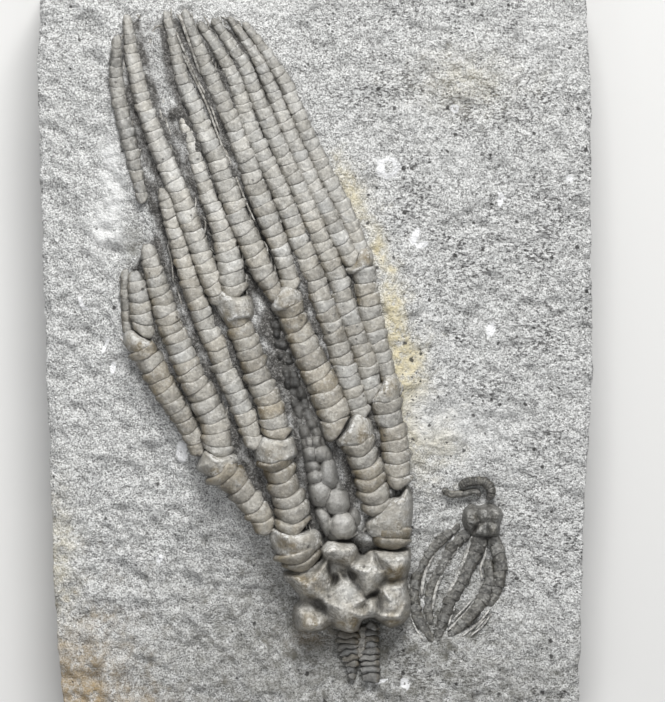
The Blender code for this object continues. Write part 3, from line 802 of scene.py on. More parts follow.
def buildCrinoidMaterial(name, look):
    material, tree, shader, place = startMaterial(name, look["roughness"])
    broad = placeGroup(tree, grainGroup, place, Size=5.0, Mix=0.3)
    blotch = placeGroup(tree, grainGroup, place, Size=1.1, Mix=0.3)
    fine = placeGroup(tree, grainGroup, place, Size=0.5, Mix=0.45)
    flank = attributeValue(tree, "flank")
    body = mixColour(tree, rampNode(tree, broad, 0.36, 0.64), look["taupe"], look["grey"])
    tan = times(tree, attributeValue(tree, "brown"), rampNode(tree, broad, 0.25, 0.6), clamp=True)
    body = mixColour(tree, tan, body, look["brown"])
    body = mixColour(tree, times(tree, rampNode(tree, blotch, 0.48, 0.72), 0.36), body, look["pale"])
    tone = plus(tree, 0.62, times(tree, attributeValue(tree, "tone"), 0.70))
    tone = times(tree, tone, minus(tree, 1.0, times(tree, flank, look["flankShade"])))
    sand = placeGroup(tree, sandGroup, place, Size=0.32)
    shade = times(tree, tone, plus(tree, 0.78, times(tree, fine, 0.44)))
    shade = times(tree, shade, plus(tree, 1 - look["sand"], times(tree, sand, 2 * look["sand"])))
    grey = tree.nodes.new("ShaderNodeCombineColor")
    for socket in grey.inputs:
        tree.links.new(shade, socket)
    body = mixColour(tree, 1.0, body, grey.outputs[0], "MULTIPLY")
    dusty = times(tree, attributeValue(tree, "dust"), rampNode(tree, sand, 0.40, 0.75), clamp=True)
    body = mixColour(tree, times(tree, dusty, 0.85), body, look["dust"])
    seam = times(tree, attributeValue(tree, "joint"), rampNode(tree, fine, 0.20, 0.50), clamp=True)
    body = mixColour(tree, seam, body, look["joint"])
    specks = placeGroup(tree, speckGroup, place, Spacing=1.1, Amount=0.07)
    body = mixColour(tree, times(tree, specks, 0.75), body, look["joint"])
    tree.links.new(body, shader.inputs["Base Color"])
    rough = plus(tree, look["roughness"] - 0.17, times(tree, fine, 0.26))
    rough = plus(tree, rough, times(tree, dusty, 0.3), clamp=True)
    tree.links.new(rough, shader.inputs["Roughness"])
    bumpFrom(tree, shader, plus(tree, times(tree, blotch, 0.6), times(tree, fine, 0.5)), look["bump"])
    return material


# the stone of each part: how it departs from crinoidLook
stoneChanges = {
    "crinoidStone": {},
    "cupStone": dict(roughness=0.58, sand=0.30),
    "sacStone": dict(taupe=(0.185, 0.18, 0.165), grey=(0.23, 0.23, 0.22), brown=(0.13, 0.11, 0.09),
                     pale=(0.36, 0.355, 0.34), flankShade=0.7),
    "stemStone": dict(taupe=(0.12, 0.12, 0.115), grey=(0.17, 0.17, 0.165), pale=(0.32, 0.32, 0.31),
                      joint=(0.025, 0.025, 0.025)),
    "smallStone": dict(taupe=(0.165, 0.16, 0.147), grey=(0.22, 0.22, 0.21), brown=(0.13, 0.12, 0.095),
                       pale=(0.42, 0.42, 0.40), dust=(0.50, 0.50, 0.48), flankShade=0.2, sand=0.5),
    "smallRidgeStone": dict(taupe=(0.40, 0.40, 0.385), grey=(0.48, 0.48, 0.465), pale=(0.66, 0.66, 0.64),
                            roughness=0.8, sand=0.5),
    "pinnuleStone": dict(taupe=(0.20, 0.195, 0.18), grey=(0.29, 0.285, 0.27), pale=(0.50, 0.49, 0.465),
                         roughness=0.7, sand=0.35),
}
stones = {name: buildCrinoidMaterial(name, dict(crinoidLook, **changes))
          for name, changes in stoneChanges.items()}


brachialLook = {
    # places along one brachial, and how far its skin stands out there as a share of the swell
    "phase": [0.0, 0.02, 0.06, 0.14, 0.28, 0.45, 0.62, 0.76, 0.87, 0.94, 0.98],
    "skin": [-1.0, -0.3, 0.15, 0.45, 0.72, 0.92, 1.0, 0.97, 0.80, 0.45, -0.2],
    "joint": [1.0, 0.75, 0.22, 0.04, 0.0, 0.0, 0.0, 0.0, 0.0, 0.05, 0.45],
    # the section: its sides, and how many degrees it reaches down each flank
    "sides": 25, "crestReach": 112.0,
}


armLook = {
    # brachials: pitch at the base and the tip, bow and slant of the joints, swell and groove
    "joint": (1.9, 1.5), "joints": (), "stop": 0.0, "curve": 0.16, "baseCurve": 0.4, "slant": 0.13,
    "baseSlant": 0.0, "wave": 0.06, "swell": 0.06, "groove": 0.05, "node": 0.05, "wobble": 0.025,
    "tilt": 0.06,
    # section: depth as a share of the width on top of a least depth, and how it stands on the bed
    "depth": 0.84, "thin": 0.4, "belly": 0.62, "foot": 0.35, "square": 0.92, "spread": 1.13,
    "lift": (0.0, 0.0), "reach": 0.0, "rise": 0.0, "round": 0.32, "open": False, "lumps": 0.085,
    # colour; rim sets a painted highlight along the far edge of each brachial
    "brown": 0.15, "shade": 0.0, "rim": 0.18, "dark": (0.15, 0.7), "crust": 1.0,
}


def spaceJoints(look, length, rng):
    # distances of the joints along an arm
    joints = list(look["joints"]) or [0.0]
    while joints[-1] < length:
        pitch = look["joint"][0] + (look["joint"][1] - look["joint"][0]) * (joints[-1] / length)
        joints.append(joints[-1] + pitch * rng.uniform(0.88, 1.12))
    if length - joints[-2] < 0.5 * (joints[-1] - joints[-2]) and len(joints) > 3:
        joints.pop()
    joints[-1] = length
    return joints


def buildArm(name, knots, material, slotName, seed, nodes, **changes):
    look = dict(armLook, **changes)
    rng = np.random.default_rng(seed)
    if look["reach"]:
        # the base runs back over the plate it stands on
        start, after = np.array(knots[0][:2]), np.array(knots[1][:2])
        start = start - look["reach"] * (after - start) / np.linalg.norm(after - start)
        knots = [(start[0], start[1], knots[0][2])] + list(knots)
    route = smoothRoute(knots)
    length = route[1][-1] - look["stop"]
    joints = spaceJoints(look, length, rng)
    count = len(joints) - 1
    slants = look["slant"] * np.array([(-1) ** k for k in range(count + 1)])
    slants = slants * rng.uniform(0.2, 1.3, count + 1)
    slants[0] += look["baseSlant"]
    slants[1] += 0.35 * look["baseSlant"]
    tones = rng.uniform(0.25, 0.75, count)
    swells = rng.uniform(0.6, 1.4, count)
    darks = rng.uniform(*look["dark"], count + 1)
    darks[0] = max(darks[0], 0.6)
    shifts = rng.normal(0, look["wobble"], (count, 2))
    tilts = rng.normal(0, look["tilt"], count)
    breaks = rng.uniform(0, 2 * math.pi, count + 1)
    waves = rng.uniform(0.0, look["wave"], count + 1)
    phases = np.array(brachialLook["phase"])
    crest = brachialLook["crestReach"]
    angles = np.radians(np.linspace(-crest, crest, brachialLook["sides"]))
    across = np.sign(np.sin(angles)) * np.abs(np.sin(angles)) ** look["square"]
    upward = np.sign(np.cos(angles)) * np.abs(np.cos(angles)) ** look["square"]
    tans = look["brown"] + rng.uniform(-0.2, 0.35, count)
    rows, jointMask, toneMask, dustMask, brownMask = [], [], [], [], []
    for k in range(count):
        last = k == count - 1
        for p, skin, dark in zip(np.append(phases, 1.0) if last else phases,
                                 brachialLook["skin"] + [-1.0], brachialLook["joint"] + [1.0]):
            s = joints[k] + (joints[k + 1] - joints[k]) * p
            slant = slants[k] * (1 - p) + slants[k + 1] * p
            x, y, width = placeAlong(route, s)
            width = width * look["spread"]
            heading = headingAlong(route, s, 0.5)
            side = heading[1], -heading[0]
            ends = float(dome(s + 0.10 * width, look["round"] * width))
            if not look["open"]:
                ends *= float(dome(length - s + 0.05 * width, 0.9 * width))
            depth = look["thin"] + look["depth"] * width
            if skin >= 0:
                stand = 1 + look["swell"] * swells[k] * (skin - 0.5)
            else:
                stand = 1 - 0.5 * look["swell"] + look["groove"] * skin / max(1.0, width * 0.4)
            halfWide, halfDeep = 0.5 * width * stand * ends, look["belly"] * depth * stand * ends
            middle = bedHeight(x, y) + look["foot"] + depth - look["belly"] * depth
            middle += np.interp(s / length, [0, 1], look["lift"]) + shifts[k, 1] * width
            middle += look["rise"] * math.exp(-s / 2.5)
            bend = look["curve"] + (look["baseCurve"] - look["curve"]) * math.exp(-s / 1.6)
            push = (bend * across ** 2 + slant * across + waves[k] * (1 - p) * np.sin(4 * across + breaks[k])
                    + waves[k + 1] * p * np.sin(4 * across + breaks[k + 1])) * 0.5 * width
            knob = look["node"] * width * math.exp(-((p - 0.6) / 0.25) ** 2)
            offset = across * halfWide + shifts[k, 0] * width
            offset = offset + (-1) ** k * knob * np.clip((-1) ** k * across, 0, 1) ** 3
            rows.append(np.column_stack([x + side[0] * offset + heading[0] * push,
                                         y + side[1] * offset + heading[1] * push,
                                         middle + upward * halfDeep + tilts[k] * across * halfWide]))
            mark = k if p < 0.5 else k + 1
            broken = 0.72 + 0.28 * np.cos(2.5 * angles + breaks[mark])
            jointMask.append(dark * darks[mark] * broken)
            # tone: random per brachial, lighter further up the crown and darker again to the tips, plus a
            # painted highlight on the far rim and painted shade down the left flank
            rim = math.exp(-((p - 0.92) / 0.06) ** 2)
            toneMask.append(tones[k] - look["shade"] + 0.22 * softStep(y, 2, 26) - 0.34 * softStep(y, 36, 54)
                            + look["rim"] * rim * np.clip(upward, 0, 1) - 0.22 * softStep(-angles, 0.2, 1.1))
            # browner low on the flanks, most on the left, which deepens the painted shade there
            tan = tans[k] + 0.55 * softStep(-angles, 0.3, 1.2) + 0.25 * softStep(angles, 0.7, 1.5)
            brownMask.append(tan * (1 - 0.6 * softStep(y, 8, 34)))
            dustMask.append(0.65 * softStep(angles, 0.5, 1.4) + 0.5 * softStep(-angles, 0.8, 1.5)
                            + 0.55 * rim)
    ringSize = len(angles)
    verts = np.vstack(rows)
    centre = np.repeat(verts.reshape(len(rows), ringSize, 3).mean(axis=1), ringSize, axis=0)
    outward = verts - centre
    outward /= np.linalg.norm(outward, axis=1)[:, None]
    girth = np.tile(angles * 1.4, len(rows)) + seed * 7.0
    run = verts[:, 1] * 1.05 + seed * 3.0
    lump = grainNoise(run, girth, 1.0, 61) * 0.6 + grainNoise(run, girth, 0.45, 62) * 0.5
    cluster = np.clip(0.45 + 0.9 * grainNoise(verts[:, 0], verts[:, 1], 2.2, 63), 0, 1)
    dust = np.clip(look["crust"] * cluster * np.concatenate(dustMask), 0, 1)
    verts = verts + outward * (look["lumps"] * lump * (1 + dust))[:, None]
    arm = meshPiece(name + "_stone", verts, tubeFaces(len(rows), ringSize))
    # flank: darker down both sides of the arm, partly dirt and partly painted shade
    flank = np.tile(softStep(np.abs(np.degrees(angles)), 38, 92), len(rows))
    paint(arm, "joint", np.concatenate(jointMask) * (1 - 0.3 * flank))
    paint(arm, "tone", np.concatenate(toneMask) + 0.55 * lump)
    paint(arm, "flank", flank)
    paint(arm, "dust", dust)
    paint(arm, "brown", np.clip(np.concatenate(brownMask), 0, 1))
    finishPiece(arm, material, slotName, *nodes)


forkArm = {"open": True, "brown": 0.4, "lumps": 0.09, "spread": 1.08, "dark": (0.3, 0.9)}
# the first stretch of each ray, the lower and the upper stretches, then the free arms
rayBase = {"open": True, "joints": (0.0, 1.9), "lumps": 0.16, "slant": 0.03}
lowerArm = dict(forkArm, joint=(2.1, 2.1), slant=0.06, reach=1.0, rise=0.7)
upperArm = dict(forkArm, curve=0.2, slant=0.1, reach=1.0, rise=0.7)
leftArm, rightArm = {"shade": -0.1, "rise": 0.6}, {"shade": 0.08, "rise": 0.6}
armChanges = {
    "left_ray_base": dict(rayBase, curve=0.34, baseCurve=0.36, brown=0.4, stop=4.0, joint=(2.5, 2.5),
                          swell=0.14, crust=0.7, depth=0.86, spread=1.0, dark=(0.6, 1.0)),
    "right_ray_base": dict(rayBase, curve=0.06, baseCurve=0.1, brown=0.6, stop=5.0, joint=(2.4, 2.4),
                           swell=0.12, crust=0.6),
    "left_inner_lower_arm": dict(lowerArm, curve=0.36, swell=0.10, stop=3.3),
    "left_outer_lower_arm": dict(lowerArm, curve=0.30, swell=0.10, joint=(2.2, 2.2), stop=2.7),
    "middle_lower_arm": dict(lowerArm, curve=0.34, baseCurve=0.5, swell=0.11, reach=0.5, rise=0.0, stop=3.6),
    "right_lower_arm": dict(lowerArm, curve=0.16, joint=(2.0, 2.1), slant=0.05, reach=1.2, rise=0.6, stop=2.4,
                            crust=1.8, brown=0.25),
    "left_inner_upper_arm": dict(upperArm, joint=(1.95, 2.0), stop=3.4, baseSlant=-0.2),
    "left_outer_upper_arm": dict(upperArm, joint=(1.9, 2.0), stop=2.8),
    "middle_upper_arm": dict(upperArm, joint=(2.3, 2.1), slant=0.12, reach=1.2, stop=2.9, baseSlant=0.5),
    "right_upper_arm": dict(upperArm, curve=0.12, joint=(1.9, 1.9), slant=0.08, reach=1.2, rise=0.6, stop=2.6,
                            crust=1.6, brown=0.2),
    "left_arm_1": dict(leftArm, reach=1.2), "left_arm_2": dict(leftArm, reach=0.9),
    "left_arm_3": dict(leftArm, reach=1.2), "left_arm_4": dict(leftArm, reach=0.9, baseSlant=-0.4),
    "left_arm_5": dict(reach=1.1, shade=0.15, baseSlant=-0.6, rise=0.5),
    "left_arm_6": dict(reach=0.8, shade=0.3), "left_arm_7": dict(shade=0.35),
    "middle_arm_1": dict(rightArm, reach=1.4, baseSlant=0.5), "middle_arm_2": dict(rightArm, reach=1.2),
    "middle_arm_3": dict(rightArm, reach=1.2),
    "right_arm_1": dict(rightArm, reach=1.1, rise=0.7, baseSlant=0.55),
    "right_arm_2": dict(rightArm, baseCurve=0.6, reach=1.0, rise=1.0, baseSlant=0.2),
    "right_arm_3": dict(rightArm, reach=1.5),
}


buildSlab(buildMatrixMaterial())
print("matrix slab done")
for seed, (name, knots) in enumerate(arms.items()):
    buildArm(name, knots, stones["crinoidStone"], "crinoid_plates", seed, [name], **armChanges.get(name, {}))


pinnuleLook = {
    "pitch": 0.8, "length": (0.9, 2.4), "radius": (0.12, 0.20), "lean": 20.0, "sides": 6, "roomFor": 1.6,
    # given strands: radius, height over the bed at both ends, then x, y places
    "strands": [
        (0.20, 0.5, 0.7, [(-25.3, 40.5), (-24.6, 37.4), (-24.0, 34.4), (-22.6, 30.9)]),
        (0.20, 0.6, 0.8, [(-24.3, 40.3), (-23.6, 36.1), (-22.3, 32.6), (-21.6, 29.9)]),
        (0.20, 0.5, 0.6, [(-26.0, 41.5), (-25.0, 36.6), (-24.2, 34.0), (-23.2, 31.0)]),
        (0.17, 0.7, 0.8, [(-24.9, 39.0), (-23.9, 35.2), (-22.4, 31.2)]),
        (0.36, 1.0, 1.0, [(-27.3, 49.0), (-27.1, 46.2), (-26.8, 42.8)]),
        (0.20, 0.6, 0.9, [(-26.3, 44.4), (-26.4, 48.2), (-26.2, 50.6), (-25.4, 51.9), (-24.7, 52.0),
                          (-24.0, 51.0)]),
        (0.45, 1.0, 1.0, [(-28.4, 53.4), (-28.0, 53.7)]),
        (0.30, 1.4, 1.8, [(-21.7, 53.9), (-20.7, 51.0), (-19.5, 47.6), (-18.3, 44.2)]),
        (0.22, 1.2, 1.5, [(-22.2, 51.0), (-20.5, 47.0), (-18.8, 43.4), (-16.8, 39.5), (-15.2, 35.0)]),
        (0.22, 1.2, 1.5, [(-21.2, 47.6), (-19.3, 43.6), (-17.3, 39.4), (-15.4, 34.2), (-13.9, 30.6)]),
        (0.20, 1.2, 1.4, [(-14.4, 32.4), (-12.7, 28.0), (-11.1, 24.0), (-9.5, 20.5)]),
        (0.20, 0.8, 1.0, [(-23.5, 17.0), (-22.8, 14.0), (-22.6, 11.0)]),
        (0.18, 0.8, 1.0, [(-22.0, 10.0), (-21.4, 8.0), (-20.9, 6.0)]),
        (0.18, 0.8, 1.0, [(-24.4, 13.0), (-23.6, 10.5), (-23.4, 9.0)]),
        (0.20, 0.9, 1.1, [(-20.0, 2.0), (-19.0, -0.5), (-18.4, -3.0)]),
        (0.20, 1.0, 1.2, [(-15.6, 0.0), (-14.6, -3.0), (-13.2, -6.5)]),
        (0.30, 1.8, 1.4, [(5.4, -29.6), (7.4, -28.9), (8.6, -27.8), (9.2, -26.6)]),
        (0.26, 2.2, 1.8, [(1.2, -31.0), (0.6, -30.2), (0.2, -29.4), (-0.4, -28.6)]),
    ],
}


def sweepRod(verts, faces, path, radius, lifts, sides):
    # one tapering beaded rod along x, y places
    path = np.array(path, dtype=float)
    route = smoothRoute(np.column_stack([path, np.ones(len(path))]))
    length = route[1][-1]
    steps = max(3, int(length / 0.45))
    for k in range(steps + 1):
        share = k / steps
        x, y, width = placeAlong(route, share * length)
        side = headingAlong(route, share * length, 0.1)[::-1] * (1, -1)
        girth = radius * (1.12 if k % 2 else 0.92) * (0.45 if k in (0, steps) else 1.0) * (1 - 0.25 * share)
        height = float(bedHeight(x, y)) + lifts[0] + (lifts[1] - lifts[0]) * share
        for turn in np.arange(sides) * 2 * math.pi / sides:
            verts.append((x + side[0] * girth * math.cos(turn), y + side[1] * girth * math.cos(turn),
                          height + girth * math.sin(turn)))
    faces += tubeFaces(steps + 1, sides, len(verts) - (steps + 1) * sides)


def buildPinnules(name, rays, strands, seed, material, slotName):
    look = pinnuleLook
    rng = np.random.default_rng(seed)
    verts, faces = [], []
    routes = {label: smoothRoute(knots) for label, knots in arms.items()}
    for label in rays:
        route = routes[label]
        others = np.vstack([line[::6] for other, (line, travel) in routes.items() if other != label])
        for s in np.arange(0.8, route[1][-1] - 1.0, look["pitch"]):
            x, y, width = placeAlong(route, s)
            ahead = placeAlong(route, s + 0.5)[:2] - (x, y)
            ahead /= np.linalg.norm(ahead)
            for side in (-1, 1):
                lean = math.radians(rng.uniform(0.3, 1.4) * look["lean"]) * -side
                reach = rng.uniform(*look["length"])
                radius = rng.uniform(*look["radius"])
                high = rng.uniform(0.15, 0.62 if side > 0 else 0.4) * (0.4 + 0.82 * width)
                wander = rng.normal(0, 0.15, 2)
                root = np.array([x, y]) + side * 0.47 * width * np.array([ahead[1], -ahead[0]])
                way = np.array([ahead[0] * math.cos(lean) - ahead[1] * math.sin(lean),
                                ahead[0] * math.sin(lean) + ahead[1] * math.cos(lean)])
                tip = root + way * reach
                room = (np.hypot(*(others[:, :2] - tip).T) - others[:, 2] / 2).min()
                if room < look["roomFor"]:
                    sweepRod(verts, faces, [root - 0.2 * way, root + 0.5 * reach * way + wander, tip], radius,
                             (high + 0.2, high), look["sides"])
    for radius, low, high, path in strands:
        rise = 0.6 * float(crownCover(*path[len(path) // 2]))  # clear of the debris in the gaps
        sweepRod(verts, faces, path, radius, (low + rise, high + rise), look["sides"])
    piece = meshPiece(name, verts, faces)
    verts = np.array(verts)
    speckle = grainNoise(verts[:, 0], verts[:, 1], 0.7, seed)
    for label, values in (("joint", 0 * speckle), ("tone", 0.5 + 0.5 * speckle), ("flank", 0 * speckle),
                          ("brown", 0.3 + 0 * speckle), ("dust", 0.3 + 0.4 * speckle)):
        paint(piece, label, values)
    finishPiece(piece, material, slotName)


leftRay = [name for name in arms if name.startswith("left")]
rightRay = [name for name in arms if not name.startswith("left")]
pinnuleStone = stones["pinnuleStone"]
buildPinnules("left_ray_pinnules", leftRay, [], 300, pinnuleStone, "crinoid_plates")
buildPinnules("right_ray_pinnules", rightRay, pinnuleLook["strands"], 301, pinnuleStone, "crinoid_plates")
print("arms and pinnules done")


cupLook = {
    "outline": [
        (-4.8, -35.4), (-2.8, -34.6), (0.8, -33.2), (0.9, -31.6), (2.2, -30.3), (4.4, -30.4), (6.4, -30.8),
        (7.4, -32.6), (8.9, -31.7), (10.0, -31.6), (13.0, -31.6), (15.2, -31.8), (15.2, -34.8),
        (14.6, -36.6), (14.8, -38.4), (15.3, -40.2), (15.1, -42.4), (13.9, -43.8), (11.9, -44.3),
        (10.5, -43.5), (9.2, -42.8), (7.6, -43.3), (6.9, -45.0), (5.2, -45.3), (3.4, -44.5), (2.3, -43.9),
        (1.1, -44.7), (-0.8, -45.1), (-2.6, -44.8), (-3.3, -43.2), (-3.4, -41.0), (-2.4, -39.6),
        (-3.6, -37.8), (-5.0, -36.2)],
    "wall": 1.3, "valley": 4.8, "cell": 0.14, "lumps": 0.10, "tone": 0.50, "fall": 2.4, "sharp": 5.0,
    # edge: strength of the painted shade round the foot of the walls
    "margin": 0.0, "crust": 0.3, "edge": 0.1,
}
# plates: the middle, then places round the edge, each x, y and height over the bed
cupPlates = [
    [(-0.8, -37.3, 7.9), (-4.4, -35.6, 4.2), (-2.9, -36.7, 6.6), (-1.0, -36.3, 7.4), (0.6, -35.0, 7.4),
     (1.7, -33.4, 7.2), (2.2, -36.0, 6.4), (2.3, -38.8, 6.4), (2.0, -40.0, 6.9), (0.6, -39.1, 7.4),
     (-0.8, -38.5, 7.0), (-2.2, -39.0, 5.4), (-3.6, -37.6, 4.2)],
    [(-0.7, -43.2, 7.9), (-3.1, -40.6, 4.6), (-1.8, -39.9, 4.2), (-0.2, -39.6, 3.4), (1.2, -40.6, 3.4),
     (2.3, -42.0, 5.4), (2.4, -43.6, 6.0), (1.2, -44.5, 6.2), (-0.6, -44.9, 5.2), (-2.4, -44.6, 4.6),
     (-3.2, -43.0, 4.6), (-3.3, -41.6, 4.8)],
    [(5.0, -41.1, 9.4), (2.3, -39.5, 7.4), (2.7, -38.0, 6.6), (3.6, -36.9, 6.2), (4.5, -36.6, 6.6),
     (5.5, -36.6, 6.4), (6.4, -37.6, 6.8), (7.6, -38.9, 7.3), (7.7, -39.6, 8.2), (7.3, -40.8, 7.4),
     (8.1, -42.2, 8.2), (8.4, -42.9, 6.6), (7.4, -43.1, 6.4), (7.1, -44.4, 5.4), (6.4, -44.9, 5.0),
     (5.3, -45.1, 5.6), (4.0, -44.7, 4.6), (3.0, -44.0, 4.8), (2.4, -42.8, 6.0), (2.1, -41.0, 7.0),
     (2.0, -40.2, 8.2)],
    [(8.9, -40.8, 8.0), (8.1, -39.9, 6.8), (8.9, -39.0, 6.2), (9.8, -39.8, 6.2), (10.0, -41.2, 6.8),
     (9.7, -42.2, 6.8), (8.6, -42.8, 6.6), (7.9, -42.2, 7.0), (7.9, -41.0, 6.6)],
    [(12.2, -40.2, 8.3), (10.4, -38.0, 6.8), (11.6, -37.5, 7.2), (13.9, -37.4, 7.4), (14.7, -38.8, 6.8),
     (15.15, -40.4, 6.2), (15.0, -42.2, 5.8), (13.9, -43.6, 5.2), (12.0, -44.2, 4.8), (10.9, -43.6, 5.0),
     (9.9, -42.5, 6.6), (10.0, -41.0, 6.2), (10.3, -39.4, 6.2)],
    [(8.7, -35.4, 9.1), (6.4, -34.6, 8.2), (7.1, -33.5, 6.8), (8.2, -33.2, 7.6), (9.0, -32.2, 7.0),
     (9.9, -34.3, 7.2), (10.8, -35.1, 8.0), (10.2, -36.8, 6.6), (9.4, -38.0, 6.6), (8.3, -38.7, 7.6),
     (7.2, -38.0, 6.2), (6.4, -36.8, 5.8), (6.6, -35.6, 6.2)],
    [(12.9, -33.8, 8.3), (9.9, -31.9, 6.2), (11.2, -31.9, 6.6), (13.0, -32.1, 6.6), (15.0, -32.0, 6.0),
     (15.0, -33.4, 6.8), (14.5, -34.9, 6.0), (14.1, -36.4, 4.8), (13.0, -37.1, 4.8), (11.6, -36.8, 4.8),
     (10.8, -35.6, 5.6), (10.3, -34.0, 6.6), (10.6, -32.9, 7.4)],
    [(3.6, -31.7, 7.6), (1.0, -31.8, 7.0), (2.1, -30.5, 6.8), (3.2, -30.2, 6.8), (4.6, -30.7, 6.4),
     (6.2, -31.2, 7.0), (6.4, -32.6, 5.8), (6.1, -34.4, 5.8), (4.6, -34.0, 5.6), (3.2, -33.5, 5.6),
     (2.0, -32.9, 5.8)],
]
# ridges: x, y, x, y, width, height
cupRidges = [
    (2.3, -36.5, 2.3, -38.8, 0.20, 1.0), (3.9, -35.4, 4.4, -36.6, 0.22, 0.9),
    (5.0, -35.2, 5.6, -36.6, 0.22, 0.6), (6.5, -34.6, 8.2, -34.9, 0.35, 0.4),
    (8.7, -33.0, 9.0, -32.3, 0.22, 0.5), (9.1, -32.6, 9.9, -34.8, 0.22, 0.5),
    (11.2, -33.1, 14.8, -33.1, 0.3, 0.3), (11.2, -33.1, 13.0, -35.0, 0.3, 0.4),
    (14.6, -33.3, 13.3, -35.0, 0.3, 0.3), (10.6, -42.2, 13.3, -42.3, 0.35, 0.9),
    (13.4, -42.1, 14.4, -40.4, 0.35, 0.5), (14.3, -40.2, 14.2, -38.4, 0.4, 0.4),
    (11.0, -38.2, 11.9, -39.4, 0.35, 0.7), (11.0, -37.9, 13.9, -37.5, 0.22, 0.4),
    (-2.2, -44.1, 1.6, -43.9, 0.5, 0.3), (-4.7, -36.0, -2.2, -39.4, 0.25, 0.6),
    (-4.2, -37.0, -2.8, -38.9, 0.2, -0.5), (10.9, -43.0, 14.0, -42.9, 0.3, -0.5),
    (1.2, -31.8, 2.6, -31.8, 0.25, 0.4)]
# pits: x, y, across, along, turn, depth
cupPits = [
    (3.2, -36.2, 0.5, 0.9, 0, 0.8), (2.2, -34.6, 0.35, 1.2, 8, 0.9), (5.6, -35.6, 1.0, 0.8, 0, 0.6),
    (9.2, -38.8, 1.0, 0.45, 20, 0.9), (10.5, -40.5, 0.5, 1.1, 0, 0.6), (7.1, -33.1, 0.7, 0.4, 20, 0.4)]
# marks: x, y, across, along, turn, tone, brown; the tones include painted highlights on crests and lower
# faces, and painted shade in the hollow below the left radial and in the pits
cupMarks = [
    (4.8, -40.9, 2.6, 0.9, 0, 0.65, 0.1), (5.2, -43.6, 2.2, 1.3, 0, 0.65, 0.5),
    (-0.6, -44.0, 2.6, 1.0, 0, 0.45, 0.5), (12.9, -43.0, 2.2, 1.2, 0, 0.35, 0.4),
    (9.3, -37.0, 1.2, 1.6, 0, 0.5, 0.2), (13.2, -35.4, 1.6, 1.2, 0, 0.45, 0.2),
    (-1.2, -38.2, 2.6, 0.9, -20, 0.35, 0.2), (4.6, -38.2, 1.6, 1.2, 0, 0.25, -0.3),
    (8.6, -35.6, 1.6, 1.6, 0, 0.15, -0.1), (-1.4, -36.6, 2.8, 0.9, -15, -0.22, 0.2),
    (3.4, -40.2, 1.0, 0.5, 0, 0.3, 0), (7.2, -34.6, 1.0, 0.3, 5, 0.5, 0),
    (8.4, -35.0, 1.6, 0.8, 0, 0.4, -0.1), (8.9, -36.6, 0.9, 1.8, -10, 0.3, 0),
    (12.3, -40.1, 0.9, 0.7, -30, 0.5, 0), (12.1, -42.1, 1.7, 0.4, 0, 0.45, 0),
    (7.9, -42.6, 1.0, 0.6, -20, 0.45, 0), (8.9, -41.2, 0.9, 1.4, 0, 0.35, 0),
    (0.2, -44.1, 2.0, 0.4, 5, 0.35, 0), (2.6, -30.7, 0.8, 0.6, 0, 0.5, 0),
    (5.7, -31.4, 0.5, 0.3, 0, 0.6, 0), (3.6, -31.9, 2.2, 0.8, 0, 0.3, 0),
    (12.9, -33.6, 1.6, 0.9, 0, 0.35, 0), (1.4, -43.0, 0.9, 0.3, 20, 0.35, 0),
    (14.7, -42.0, 0.5, 1.6, 25, 0.3, 0.2), (0.9, -39.3, 1.2, 0.3, -30, 0.25, 0),
    (-2.2, -36.2, 1.2, 0.3, -15, 0.3, 0), (0.6, -40.3, 2.0, 0.9, -32, -0.75, -0.2),
    (1.4, -41.7, 0.9, 1.1, 0, -0.45, -0.2), (3.2, -36.2, 0.6, 0.8, 0, -0.6, 0),
    (2.3, -34.8, 0.5, 1.6, 5, -0.6, 0), (5.4, -35.4, 1.2, 1.0, 0, -0.5, 0),
    (9.2, -38.7, 1.3, 0.6, 20, -0.45, 0), (10.3, -40.4, 0.6, 1.5, 0, -0.3, -0.2),
    (12.5, -36.2, 1.5, 0.8, 0, -0.35, 0.6), (4.6, -38.3, 1.6, 1.2, 0, -0.15, -0.3),
    (7.1, -37.2, 0.6, 1.0, 30, -0.25, 0), (10.8, -33.6, 0.6, 1.0, 0, -0.1, 0),
    (-0.8, -37.4, 2.6, 1.5, -15, -0.05, 0.6), (5.2, -43.4, 1.8, 1.4, 0, 0.05, 0.45),
    (-1.4, -43.0, 1.8, 1.8, 0, -0.1, 0.3), (12.5, -43.5, 1.9, 0.6, 0, 0.0, 0.6),
    (12.9, -35.2, 1.4, 1.0, 0, 0.0, 0.5), (4.2, -33.4, 1.6, 0.7, 0, -0.1, 0.3)]


def starPatch(x, y, plate, fall):
    # height of a plate: from its middle down to an edge of many heights, then falling away
    cx, cy, top = plate[0]
    edge = np.array(plate[1:])
    turns = np.arctan2(edge[:, 1] - cy, edge[:, 0] - cx)
    order = np.argsort(turns)
    turns, edge = turns[order], edge[order]
    turn = np.arctan2(y - cy, x - cx)
    far = np.hypot(x - cx, y - cy)
    place = np.searchsorted(turns, turn) % len(turns)
    after, before = edge[place], edge[place - 1]
    # where the ray to the point crosses the edge between two places
    ax, ay = before[..., 0] - cx, before[..., 1] - cy
    bx, by = after[..., 0] - cx, after[..., 1] - cy
    dirX, dirY = np.cos(turn), np.sin(turn)
    cross = dirX * (by - ay) - dirY * (bx - ax)
    reach = (ax * by - ay * bx) / np.where(np.abs(cross) < 1e-6, 1e-6, cross)
    share = np.clip((dirX * ay - dirY * ax) / np.where(np.abs(cross) < 1e-6, 1e-6, -cross), 0, 1)
    rim = before[..., 2] * (1 - share) + after[..., 2] * share
    t = far / np.maximum(reach, 0.2)
    inside = top + (rim - top) * np.clip(t, 0, 1) ** 1.8
    return np.where(t <= 1, inside, rim - fall * (far - reach))


